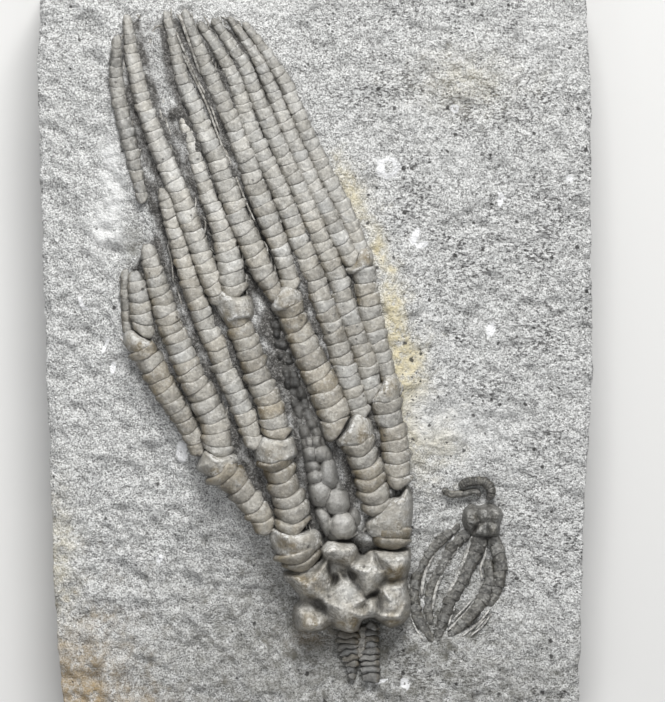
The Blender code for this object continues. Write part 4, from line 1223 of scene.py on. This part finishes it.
def buildPlates(name, nodeName, look, plates, ridges, pits, marks, material, slotName, seed):
    # faceted plates run together on a walled body, then ridges and pits; crests painted lighter, partly wear
    # and partly painted highlight, with painted shade in the pits, hollows and round the edge
    loop = roundLoop(look["outline"])
    low, high = loop.min(axis=0) - 1.2, loop.max(axis=0) + 1.2
    x, y = gridOver(low, high, look["cell"])
    outer = insideDepth(x, y, loop) + look["margin"]
    warpX = x + 0.16 * grainNoise(x, y, 1.3, seed) + 0.07 * grainNoise(x, y, 0.5, seed + 1)
    warpY = y + 0.16 * grainNoise(x, y, 1.3, seed + 7) + 0.07 * grainNoise(x, y, 0.5, seed + 8)
    rises = [starPatch(warpX, warpY, plate, look["fall"]) for plate in plates]
    rises.append(np.full(x.shape, look["valley"]))
    # a soft maximum of them all, worked round a middle height to keep its numbers small
    middle, sharp = 6.0, look["sharp"]
    lift = np.log(sum(np.exp(sharp * (rise - middle)) for rise in rises)) / sharp + middle
    for ax, ay, bx, by, width, height in ridges:
        runX, runY = bx - ax, by - ay
        share = np.clip(((x - ax) * runX + (y - ay) * runY) / (runX ** 2 + runY ** 2), 0, 1)
        away = np.hypot(x - ax - share * runX, y - ay - share * runY)
        lift = lift + height * np.exp(-(away / width) ** 2)
    sunk = np.zeros(x.shape)
    for *oval, depth in pits:
        inside = np.exp(-ovalReach(warpX, warpY, *oval) ** 1.4)
        lift = lift - depth * inside
        sunk = np.maximum(sunk, inside * min(1.0, depth / 1.6))
    lumps = (0.8 * grainNoise(x, y, 1.6, seed + 2) + 0.5 * grainNoise(x, y, 0.7, seed + 3)
             + 0.4 * grainNoise(x, y, 0.35, seed + 4))
    lift = lift + look["lumps"] * lumps
    wall = dome(outer + 0.1 * grainNoise(x, y, 1.0, seed + 9), look["wall"])
    bed = bedHeight(x, y)
    top = np.where(outer > -0.15, bed + 0.2 + np.maximum(lift, 0.8) * wall, bed - 0.9)
    shape = lift - blurGrid(lift, 5)
    piece, used = reliefPiece(name + "_stone", x, y, blurGrid(top, 1), bed - 2.0, outer > -0.8)
    tone, brown = np.full(x.shape, look["tone"]), np.full(x.shape, 0.3)
    for *oval, bright, tan in marks:
        inside = np.exp(-ovalReach(warpX, warpY, *oval))
        tone, brown = tone + bright * inside, brown + tan * inside
    crust = look["crust"] * np.exp(-((outer - 0.7) / 0.35) ** 2)
    # joint: painted shade in the pits and hollows; tone: lighter crests, partly painted highlight, and
    # painted shade in the hollows; flank: painted shade round the foot of the walls
    paintRelief(piece, used, joint=np.clip(0.7 * sunk + 0.5 * softStep(-shape, 0.25, 0.8), 0, 1),
                tone=tone + 0.3 * softStep(shape, 0.05, 0.5) - 0.15 * softStep(-shape, 0.0, 0.4),
                flank=look["edge"] * (1 - softStep(outer, 0.0, look["wall"])),
                brown=np.clip(brown * (1 + grainNoise(x, y, 1.5, seed + 5)), 0, 1),
                dust=np.clip((0.6 * softStep(shape, 0.05, 0.4) + crust)
                             * (0.5 + grainNoise(x, y, 1.8, seed + 6)), 0, 1))
    finishPiece(piece, material, slotName, nodeName)


buildPlates("cup", "cup", cupLook, cupPlates, cupRidges, cupPits, cupMarks, stones["cupStone"],
            "crinoid_plates", 80)


shieldLook = {
    "wall": 0.8, "valley": 0.6, "cell": 0.13, "lumps": 0.12, "tone": 0.52, "fall": 2.4, "sharp": 7.0,
    # edge: strength of the painted shade round the rim of each plate
    "margin": 0.3, "crust": 0.9, "edge": 0.55,
}
# the plate at each fork: its arm, then middle and edge as in the cup, ridges, marks; the thin bright marks
# are painted highlights along the rims
shields = {
    "left_ray_base": (
        [(-3.0, -30.6, 7.0), (-6.9, -28.2, 4.0), (-5.8, -28.4, 5.2), (-4.4, -28.9, 5.8),
         (-3.0, -29.0, 5.8), (-0.9, -28.6, 5.0), (0.4, -28.8, 3.8), (0.9, -30.2, 3.8), (0.4, -31.6, 4.4),
         (-1.2, -32.3, 6.0), (-2.6, -32.9, 6.5), (-4.6, -32.9, 6.3), (-5.9, -32.4, 4.8),
         (-6.7, -31.2, 3.6), (-7.2, -29.6, 3.2)], [],
        [(-4.4, -31.0, 1.6, 1.6, 0, -0.15, 0.8), (-1.6, -30.4, 1.1, 1.2, 0, 0.2, 0),
         (-3.0, -29.5, 2.6, 0.3, -5, 0.3, 0)]),
    "left_inner_lower_arm": (
        [(-7.0, -16.0, 6.1), (-8.9, -14.6, 4.9), (-8.2, -13.6, 5.0), (-6.9, -13.7, 4.6),
         (-5.2, -13.9, 4.4), (-3.7, -13.7, 3.6), (-3.2, -15.2, 3.4), (-3.1, -16.5, 3.8),
         (-4.2, -17.4, 5.0), (-5.4, -17.8, 5.5), (-7.0, -18.2, 5.5), (-8.4, -17.9, 4.6),
         (-9.2, -17.3, 3.6), (-9.4, -16.0, 3.8)],
        [(-6.9, -14.3, -4.6, -15.0, 0.25, 0.3)],
        [(-7.9, -15.1, 0.8, 0.8, 0, 0.45, -0.1), (-7.6, -16.9, 1.4, 0.9, 0, -0.1, 0.6),
         (-4.6, -15.6, 1.0, 1.2, 0, 0.15, 0), (-5.9, -14.6, 1.4, 0.25, -15, 0.4, 0)]),
    "left_outer_lower_arm": (
        [(-16.0, -18.2, 6.0), (-18.7, -18.6, 4.0), (-18.3, -17.4, 4.4), (-17.5, -15.8, 4.8),
         (-16.5, -16.1, 4.8), (-15.4, -16.6, 4.6), (-14.2, -16.6, 4.4), (-12.9, -16.4, 3.8),
         (-12.4, -17.2, 3.8), (-12.6, -18.1, 4.2), (-13.8, -19.1, 5.0), (-15.0, -19.9, 5.3),
         (-16.1, -20.2, 5.2), (-17.1, -19.7, 4.6), (-18.2, -19.1, 3.8)],
        [(-17.3, -16.3, -15.6, -17.5, 0.22, 0.35), (-15.6, -17.5, -13.1, -16.9, 0.22, 0.35),
         (-18.4, -18.4, -17.0, -17.9, 0.25, 0.3)],
        [(-15.8, -18.8, 1.9, 0.8, 0, -0.15, 0.8), (-15.6, -17.4, 1.8, 0.3, 0, 0.3, 0)]),
    "left_outer_upper_arm": (
        [(-28.2, 1.1, 5.1), (-30.4, 2.6, 3.4), (-29.8, 3.2, 4.1), (-29.0, 3.1, 4.4), (-28.0, 2.5, 4.5),
         (-27.0, 1.9, 4.4), (-26.2, 1.5, 3.9), (-25.9, 1.0, 3.6), (-26.5, 0.4, 4.4), (-27.6, -0.2, 4.8),
         (-28.7, -0.6, 4.6), (-29.6, 0.1, 3.9), (-30.4, 1.3, 3.3)], [],
        [(-28.9, 2.2, 1.2, 0.5, -30, 0.3, -0.2), (-28.6, 0.5, 1.7, 0.8, 15, -0.25, 1.6)]),
    "left_inner_upper_arm": (
        [(-12.4, 7.2, 5.4), (-15.6, 7.4, 3.4), (-15.3, 9.0, 4.2), (-14.6, 9.6, 4.4), (-13.4, 8.9, 4.2),
         (-12.0, 8.7, 4.2), (-10.6, 8.6, 3.6), (-9.9, 7.2, 3.2), (-10.1, 5.4, 3.9), (-11.3, 5.1, 4.9),
         (-12.4, 4.9, 5.2), (-13.4, 4.5, 4.8), (-14.4, 4.8, 3.6), (-15.2, 6.0, 3.2)], [],
        [(-11.7, 7.5, 0.9, 0.7, 0, 0.35, 0), (-13.6, 6.6, 1.0, 1.0, 0, -0.05, 0.3)]),
    "middle_upper_arm": (
        [(-4.3, 8.2, 5.1), (-6.8, 7.4, 3.6), (-6.3, 8.5, 3.8), (-5.4, 10.0, 3.9), (-4.6, 10.4, 3.7),
         (-3.2, 10.2, 3.4), (-2.2, 9.4, 3.0), (-1.9, 8.0, 3.2), (-2.5, 7.2, 3.8), (-3.5, 6.8, 4.7),
         (-4.6, 6.4, 4.8), (-5.9, 6.3, 4.2), (-6.7, 6.6, 3.6)],
        [(-6.3, 7.8, -5.3, 9.7, 0.18, 0.3)],
        [(-4.3, 8.3, 1.5, 1.2, 0, -0.1, 0.3), (-6.1, 8.8, 0.2, 1.2, -28, 0.5, 0)]),
    "middle_lower_arm": (
        [(7.0, -12.7, 5.6), (3.4, -14.0, 3.2), (4.4, -13.3, 4.2), (5.2, -12.2, 4.6), (5.9, -10.6, 4.6),
         (6.6, -9.9, 4.4), (7.8, -10.0, 3.8), (8.9, -11.2, 3.6), (9.3, -12.8, 3.6), (9.2, -14.2, 3.6),
         (8.2, -15.0, 4.8), (6.6, -15.2, 5.2), (5.0, -15.1, 4.6), (3.8, -14.9, 3.4)],
        [(4.4, -13.9, 6.2, -11.4, 0.22, 0.3)],
        [(7.1, -11.7, 0.9, 0.7, 0, 0.3, 0), (7.0, -13.7, 1.6, 0.9, 0, -0.12, 0.7)]),
    "right_lower_arm": (
        [(11.5, -6.9, 5.3), (8.4, -8.0, 3.2), (9.2, -7.3, 4.2), (10.1, -6.4, 4.5), (10.8, -5.2, 4.5),
         (11.2, -3.9, 4.2), (12.4, -3.9, 3.6), (13.3, -4.8, 3.2), (13.5, -6.6, 3.2), (13.3, -7.9, 3.6),
         (12.4, -8.4, 4.6), (11.0, -8.5, 4.9), (9.6, -8.4, 4.2)],
        [(9.4, -7.6, 11.1, -5.2, 0.22, 0.3)],
        [(11.6, -6.5, 1.6, 1.4, 0, -0.1, 0.5), (13.0, -5.3, 0.3, 0.8, 0, -0.3, 0.3)]),
    "right_upper_arm": (
        [(7.4, 13.8, 4.3), (4.4, 13.4, 2.4), (5.2, 13.5, 2.8), (6.2, 14.2, 3.1), (6.8, 15.6, 3.0),
         (7.2, 17.0, 2.8), (8.2, 17.0, 2.4), (9.0, 15.8, 2.6), (9.2, 14.4, 2.8), (8.8, 13.4, 3.2),
         (7.5, 12.7, 4.0), (6.1, 12.3, 3.9), (4.9, 12.6, 3.0)],
        [(5.4, 13.4, 6.8, 15.2, 0.2, 0.25)],
        [(7.4, 13.9, 1.5, 1.0, 0, -0.25, 0.6), (8.3, 15.0, 0.4, 0.9, 0, -0.1, 0.6)]),
    "right_ray_base": (
        [(13.2, -26.8, 6.4), (13.6, -23.4, 5.6), (14.6, -21.9, 5.2), (15.2, -23.4, 4.2),
         (15.3, -25.8, 4.0), (15.1, -28.0, 4.0), (15.0, -29.6, 4.4), (13.4, -29.8, 5.6),
         (12.0, -30.0, 5.6), (10.6, -30.0, 5.0), (8.8, -29.4, 3.6), (8.2, -27.6, 3.4), (9.6, -26.1, 4.3),
         (10.9, -25.0, 4.5), (12.2, -23.5, 4.7)],
        [(13.3, -24.2, 14.6, -22.0, 0.3, 0.4)],
        [(13.7, -23.8, 0.4, 0.4, 0, 0.6, 0), (14.3, -22.6, 0.3, 0.7, -30, 0.6, 0),
         (14.4, -26.0, 0.6, 0.7, 0, 0.35, 0), (10.5, -28.9, 0.4, 0.2, 0, 0.5, 0),
         (13.6, -28.3, 1.5, 1.2, 0, -0.1, 0.55)]),
}
for seed, (name, (plate, ridges, marks)) in enumerate(shields.items()):
    look = dict(shieldLook, outline=[place[:2] for place in plate[1:]])
    buildPlates(name + "_fork", name, look, [plate], ridges, [], marks, stones["crinoidStone"],
                "crinoid_plates", 120 + 10 * seed)


def buildSac():
    # domed plates packed over a low rounded tube
    look = sacLook
    route = smoothRoute(look["route"])
    fine, travel = route
    rng = np.random.default_rng(77)
    domes = list(look["plates"])
    s, row = look["upperFrom"], 0
    while s < travel[-1] - 0.3:
        x, y, width = placeAlong(route, s)
        for offset in ((-0.26, 0.26) if row % 2 else (-0.38, 0.12)):
            domes.append((x + offset * width + rng.normal(0, 0.15), y + rng.normal(0, 0.2),
                          rng.uniform(0.8, 1.05), rng.uniform(0.75, 1.1), rng.uniform(0.4, 0.9),
                          rng.uniform(0.0, 0.6)))
        s, row = s + look["upperPitch"], row + 1
    low, high = fine[:, :2].min(axis=0) - look["around"], fine[:, :2].max(axis=0) + look["around"]
    x, y = gridOver(low, high, look["cell"])
    nearest = np.full(x.shape, 1e9)
    for px, py, width in fine[::3]:
        nearest = np.minimum(nearest, np.hypot(x - px, y - py) / (0.5 * width))
    warpX, warpY = x + 0.18 * grainNoise(x, y, 1.4, 71), y + 0.16 * grainNoise(x, y, 1.4, 72)
    tone, first, second = (np.zeros(x.shape) for k in range(3))
    for cx, cy, across, along, stand, bright in domes:
        # full, many-sided domes: each keeps its own height and tone where it stands highest
        away = (np.abs((warpX - cx) / (1.2 * across)) ** 2.4 + np.abs((warpY - cy) / (1.2 * along)) ** 2.4)
        rise = (0.5 + stand) * np.sqrt(np.clip(1 - away, 0, 1))
        higher = rise > first
        second = np.where(higher, first, np.maximum(second, rise))
        tone = np.where(higher, bright, tone)
        first = np.maximum(first, rise)
    swell = softStep(first, 0.1, 0.7) * softStep(first - second, 0.0, 0.26)
    upper = softStep(y, -16, -6)
    lift = look["crown"] * np.sqrt(np.clip(1.12 - nearest ** 2, 0, 1)) * (0.6 + 0.4 * softStep(-y, -2, 24))
    lift = lift + look["plateDepth"] * (first - 0.45) * (1 - 0.15 * upper) * softStep(1.2 - nearest, 0, 0.2)
    lift = lift + 0.06 * grainNoise(x, y, 0.8, 73) + 0.04 * grainNoise(x, y, 0.4, 74)
    bed = bedHeight(x, y)
    top = bed + np.where(nearest < 1.05, lift, -0.9)
    piece, used = reliefPiece("anal_sac_stone", x, y, blurGrid(top, 1), bed - 2.0, nearest < 1.25)
    # joint: the dark seams between the domes; tone: the domes lighter away from the seams, a painted
    # highlight, and the upper sac darker, both darker stone and painted shade down in its trench; flank:
    # painted shade down the sides
    paintRelief(piece, used, joint=0.95 * (1 - swell),
                tone=tone * (1 - 0.5 * upper) + 0.3 * swell - 1.1 * upper + 0.1,
                flank=softStep(nearest, 0.6, 1.0) * (1 - 0.6 * swell), brown=0.2 + 0 * x,
                dust=0.5 * softStep(grainNoise(x, y, 2.0, 75), 0.0, 0.6) * (1 - swell) * (1 - upper))
    finishPiece(piece, stones["sacStone"], "dark_sac", "anal_sac")


buildSac()
print("cup and sac done")


stemArm = {
    "joint": (0.95, 1.0), "curve": 0.10, "baseCurve": 0.1, "slant": 0.12, "swell": 0.34, "groove": 0.16,
    "depth": 0.5, "square": 0.8, "brown": 0.1, "node": 0.0, "open": True, "spread": 1.0, "lumps": 0.14,
    "wobble": 0.05, "tilt": 0.15, "dark": (0.5, 1.0), "crust": 1.3, "wave": 0.15,
}
stemCrests = {
    "stem_left_crest": [
        (5.4, -44.0, 3.4), (5.3, -46.5, 3.4), (5.6, -48.6, 2.8), (5.9, -50.6, 1.7), (5.8, -52.6, 1.1)],
    "stem_right_crest": [(8.6, -43.6, 2.6), (8.8, -47.0, 2.8), (9.0, -50.0, 2.9), (9.0, -53.0, 2.4)],
}
for seed, (name, knots) in enumerate(stemCrests.items()):
    buildArm(name, knots, stones["stemStone"], "dark_stem", 200 + seed, ["stem_stub"], **stemArm)
buildArm("stem_fill", [(7.6, -44.2, 1.6), (7.4, -47.0, 1.5), (7.2, -49.2, 1.0)], pinnuleStone, "dark_stem",
         205, ["stem_stub"], **dict(stemArm, joint=(1.6, 1.6), depth=1.1, swell=0.1, groove=0.02, crust=2.0))
print("stem done")


smallArm = {"joint": (1.5, 1.2), "curve": 0.2, "baseCurve": 0.4, "slant": 0.15, "swell": 0.08, "groove": 0.04,
            "depth": 0.5, "brown": 0.3, "node": 0.05, "lumps": 0.12, "lift": (-0.8, -1.0), "spread": 1.45,
            "crust": 1.0, "dark": (0.2, 0.9), "shade": 0.3}
smallArms = {
    "small_arm_1": [
        (28.4, -29.6, 1.4), (29.5, -32.6, 1.5), (29.8, -35.2, 1.4), (29.2, -38.4, 1.2), (28.0, -41.2, 0.8)],
    "small_arm_2": [
        (27.7, -33.4, 1.0), (28.1, -36.8, 1.3), (27.0, -39.8, 1.5), (25.6, -41.8, 1.4), (23.8, -43.8, 1.2),
        (21.2, -46.2, 0.7)],
    "small_arm_3": [
        (26.4, -29.4, 1.9), (26.1, -31.4, 1.8), (25.1, -33.9, 1.5), (23.2, -37.8, 1.4), (21.6, -40.6, 1.4),
        (20.4, -44.0, 1.2), (19.4, -47.0, 0.7)],
    "small_arm_4": [
        (24.6, -28.8, 1.3), (23.2, -30.4, 1.3), (21.6, -32.2, 1.2), (19.5, -36.2, 1.1), (18.3, -39.2, 1.0),
        (18.2, -42.0, 0.9), (18.8, -44.0, 0.6)],
    "small_arm_5": [(23.0, -30.2, 1.0), (21.0, -33.0, 1.1), (19.4, -35.4, 0.8)],
    "small_arm_6": [
        (23.2, -27.8, 1.0), (21.8, -29.0, 1.2), (19.8, -30.8, 1.2), (18.0, -32.9, 1.1), (16.5, -35.6, 1.1),
        (15.8, -38.8, 1.2), (16.4, -42.4, 1.3), (18.0, -45.4, 1.0), (19.2, -46.9, 0.6)],
}
smallStone = stones["smallStone"]
for seed, (name, knots) in enumerate(smallArms.items()):
    buildArm(name, knots, smallStone, "small_crinoid", 210 + seed, [name], **smallArm)
# pale ridges of matrix and pinnules between the small arms: radius, heights, places
smallStrands = [
    (0.42, 0.15, 0.10, [(22.4, -28.2), (20.2, -31.0), (18.5, -33.6), (17.5, -36.4), (17.1, -39.4)]),
    (0.22, 0.35, 0.20, [(23.4, -29.8), (21.4, -32.6), (19.0, -37.0), (18.0, -40.4)]),
    (0.40, 0.20, 0.15, [(24.2, -29.8), (22.6, -31.8), (21.0, -34.6), (19.4, -38.4), (18.9, -41.6)]),
    (0.46, 0.45, 0.20, [(25.4, -29.6), (24.5, -32.3), (23.5, -35.0), (22.3, -37.3), (21.2, -39.6)]),
    (0.26, 0.10, 0.10, [(24.4, -35.8), (23.2, -38.8), (22.3, -41.4), (21.4, -44.2)]),
    (0.28, 0.30, 0.20, [(27.2, -30.4), (27.4, -32.6), (26.6, -34.8), (26.9, -36.8)]),
    (0.24, 0.20, 0.10, [(26.4, -39.2), (24.8, -41.4), (22.9, -43.4), (21.3, -45.0)]),
    (0.20, 0.10, 0.10, [(25.6, -39.6), (24.0, -41.4), (22.2, -43.2)]),
    (0.18, 0.10, 0.10, [(28.0, -41.6), (26.4, -43.6), (24.2, -45.4), (22.6, -46.4)]),
    (0.18, 0.10, 0.10, [(28.4, -42.2), (26.9, -44.2), (25.0, -45.8)]),
    (0.16, 0.10, 0.10, [(27.4, -43.0), (25.8, -44.8)]),
    (0.22, 0.10, 0.10, [(15.2, -37.4), (15.1, -40.6), (15.8, -43.8), (17.4, -46.6)]),
]
buildPinnules("small_ridges", [], smallStrands, 320, stones["smallRidgeStone"], "small_crinoid")
smallCupLook = {
    "outline": [
        (23.8, -25.6), (25.0, -24.7), (26.2, -24.9), (28.0, -24.5), (29.4, -25.2), (30.1, -26.3),
        (29.8, -27.6), (29.4, -29.6), (27.6, -29.9), (26.0, -30.0), (24.6, -29.2), (23.7, -27.6)],
    "wall": 0.9, "valley": 1.7, "cell": 0.11, "lumps": 0.10, "tone": 0.40, "fall": 2.0, "sharp": 7.0,
    # edge: strength of the painted shade round the rim of each plate
    "margin": 0.0, "crust": 0.0, "edge": 0.5,
}
smallPlates = [
    [(25.0, -26.9, 3.1), (23.9, -25.7, 2.1), (25.0, -24.9, 2.2), (26.1, -25.3, 2.2), (26.1, -27.6, 2.2),
     (25.2, -28.8, 1.9), (24.4, -28.7, 1.8), (23.8, -27.2, 1.9)],
    [(27.2, -26.2, 3.1), (26.4, -25.1, 2.4), (27.4, -24.8, 2.3), (28.1, -25.2, 2.2), (28.1, -27.0, 2.2),
     (27.2, -27.4, 2.4), (26.3, -27.2, 2.4)],
    [(29.0, -26.2, 3.1), (28.2, -25.0, 2.3), (29.3, -25.3, 2.3), (30.0, -26.4, 2.0), (29.7, -27.5, 2.2),
     (28.6, -27.4, 2.4), (28.2, -26.6, 2.3)],
    [(26.7, -28.6, 2.9), (26.3, -27.8, 2.4), (27.6, -27.5, 2.4), (27.6, -29.6, 2.0), (26.2, -29.8, 1.8),
     (25.3, -29.1, 1.8)],
    [(28.6, -28.6, 2.8), (27.9, -27.6, 2.3), (29.3, -27.7, 2.2), (29.0, -29.6, 1.8), (27.9, -29.7, 1.9)],
]
smallPits = [
    (25.7, -28.6, 0.22, 1.1, -38, 0.8), (27.75, -28.6, 0.16, 1.2, 0, 0.35),
    (26.2, -26.6, 0.15, 1.3, 0, 0.4)]
smallMarks = [
    (25.0, -27.0, 1.3, 1.8, 0, -0.25, 0.3), (27.2, -26.3, 1.2, 0.7, 0, 0.45, 0),
    (29.0, -26.1, 0.7, 0.6, 0, 0.3, 0), (24.8, -26.9, 1.0, 1.6, 0, -0.1, 0.4),
    (28.6, -28.7, 0.8, 1.0, 0, -0.1, 0.4), (26.6, -28.7, 0.9, 0.8, 0, 0.15, 0)]
buildPlates("small_cup", "small_cup", smallCupLook, smallPlates, [], smallPits, smallMarks, smallStone,
            "small_crinoid", 95)
stemBand = {
    "joint": (0.42, 0.42), "curve": 0.05, "baseCurve": 0.1, "slant": 0.03, "swell": 0.12, "groove": 0.05,
    "depth": 0.62, "node": 0.0, "spread": 1.0, "brown": 0.6, "shade": 0.45, "crust": 0.3,
    "dark": (0.3, 0.9),
}
buildArm("small_stem", [(23.2, -21.9, 1.3), (24.2, -21.2, 1.5), (25.7, -20.85, 1.5), (27.1, -21.0, 1.6),
                        (28.1, -21.9, 1.6), (28.2, -23.1, 1.4), (27.6, -23.9, 1.1)], smallStone,
         "small_crinoid", 220, ["small_stem"], **stemBand)
buildArm("small_stem_lip", [(20.4, -22.1, 0.8), (21.6, -22.9, 1.1), (23.6, -22.9, 1.1), (25.6, -22.5, 0.9),
                            (26.6, -23.2, 0.8)], smallStone, "small_crinoid", 221, ["small_stem"],
         **dict(stemBand, joint=(1.2, 1.2), depth=0.45, shade=0.0))
print("small crinoid done")


viewLook = {
    # the frame shows so much at the height of the bed: rows of the picture times millimetres a row
    "imageHigh": 702, "rowSize": 0.16, "aim": (2.8, 0.0, 20.0), "distance": 700.0, "sensor": 36.0,
    "sky": (0.93, 0.95, 1.0), "skyStrength": 0.29,
    # name, place, aim, size, watts
    "lamps": [("windowLight", (50.0, 450.0, 480.0), (0.0, 0.0, 20.0), 300.0, 5.6),
              ("fillLight", (-60.0, -200.0, 520.0), (0.0, 0.0, 20.0), 420.0, 0.8)],
    "floor": (0.62, 0.615, 0.60), "floorReach": 1500.0,
}


def setStage():
    look = viewLook
    camera = addObject("camera", bpy.data.cameras.new("camera"))
    camera.location = (look["aim"][0] * mm, look["aim"][1] * mm, (look["aim"][2] + look["distance"]) * mm)
    camera.data.sensor_fit = "VERTICAL"
    camera.data.sensor_height = look["sensor"]
    camera.data.lens = look["sensor"] * look["distance"] / (look["imageHigh"] * look["rowSize"])
    camera.data.clip_start = 0.01
    bpy.context.scene.camera = camera
    for name, place, target, size, watts in look["lamps"]:
        lamp = addObject(name, bpy.data.lights.new(name, "AREA"))
        lamp.data.size, lamp.data.energy = size * mm, watts
        lamp.location = Vector(place) * mm
        lamp.rotation_euler = (Vector(target) * mm - lamp.location).to_track_quat("-Z", "Y").to_euler()
    world = bpy.data.worlds.new("softRoom")
    world.use_nodes = True
    sky = world.node_tree.nodes["Background"]
    sky.inputs["Color"].default_value = (*look["sky"], 1.0)
    sky.inputs["Strength"].default_value = look["skyStrength"]
    bpy.context.scene.world = world
    bpy.context.scene.view_settings.view_transform = "Standard"
    reach = look["floorReach"]
    corners = [(-reach, -reach, 0), (reach, -reach, 0), (reach, reach, 0), (-reach, reach, 0)]
    floor = meshPiece("floor", corners, [(0, 1, 2, 3)], smooth=False)
    material, tree, shader, place = startMaterial("paleFloor", 0.8)
    shader.inputs["Base Color"].default_value = (*look["floor"], 1.0)
    floor.data.materials.append(material)


setStage()
print("stage set")
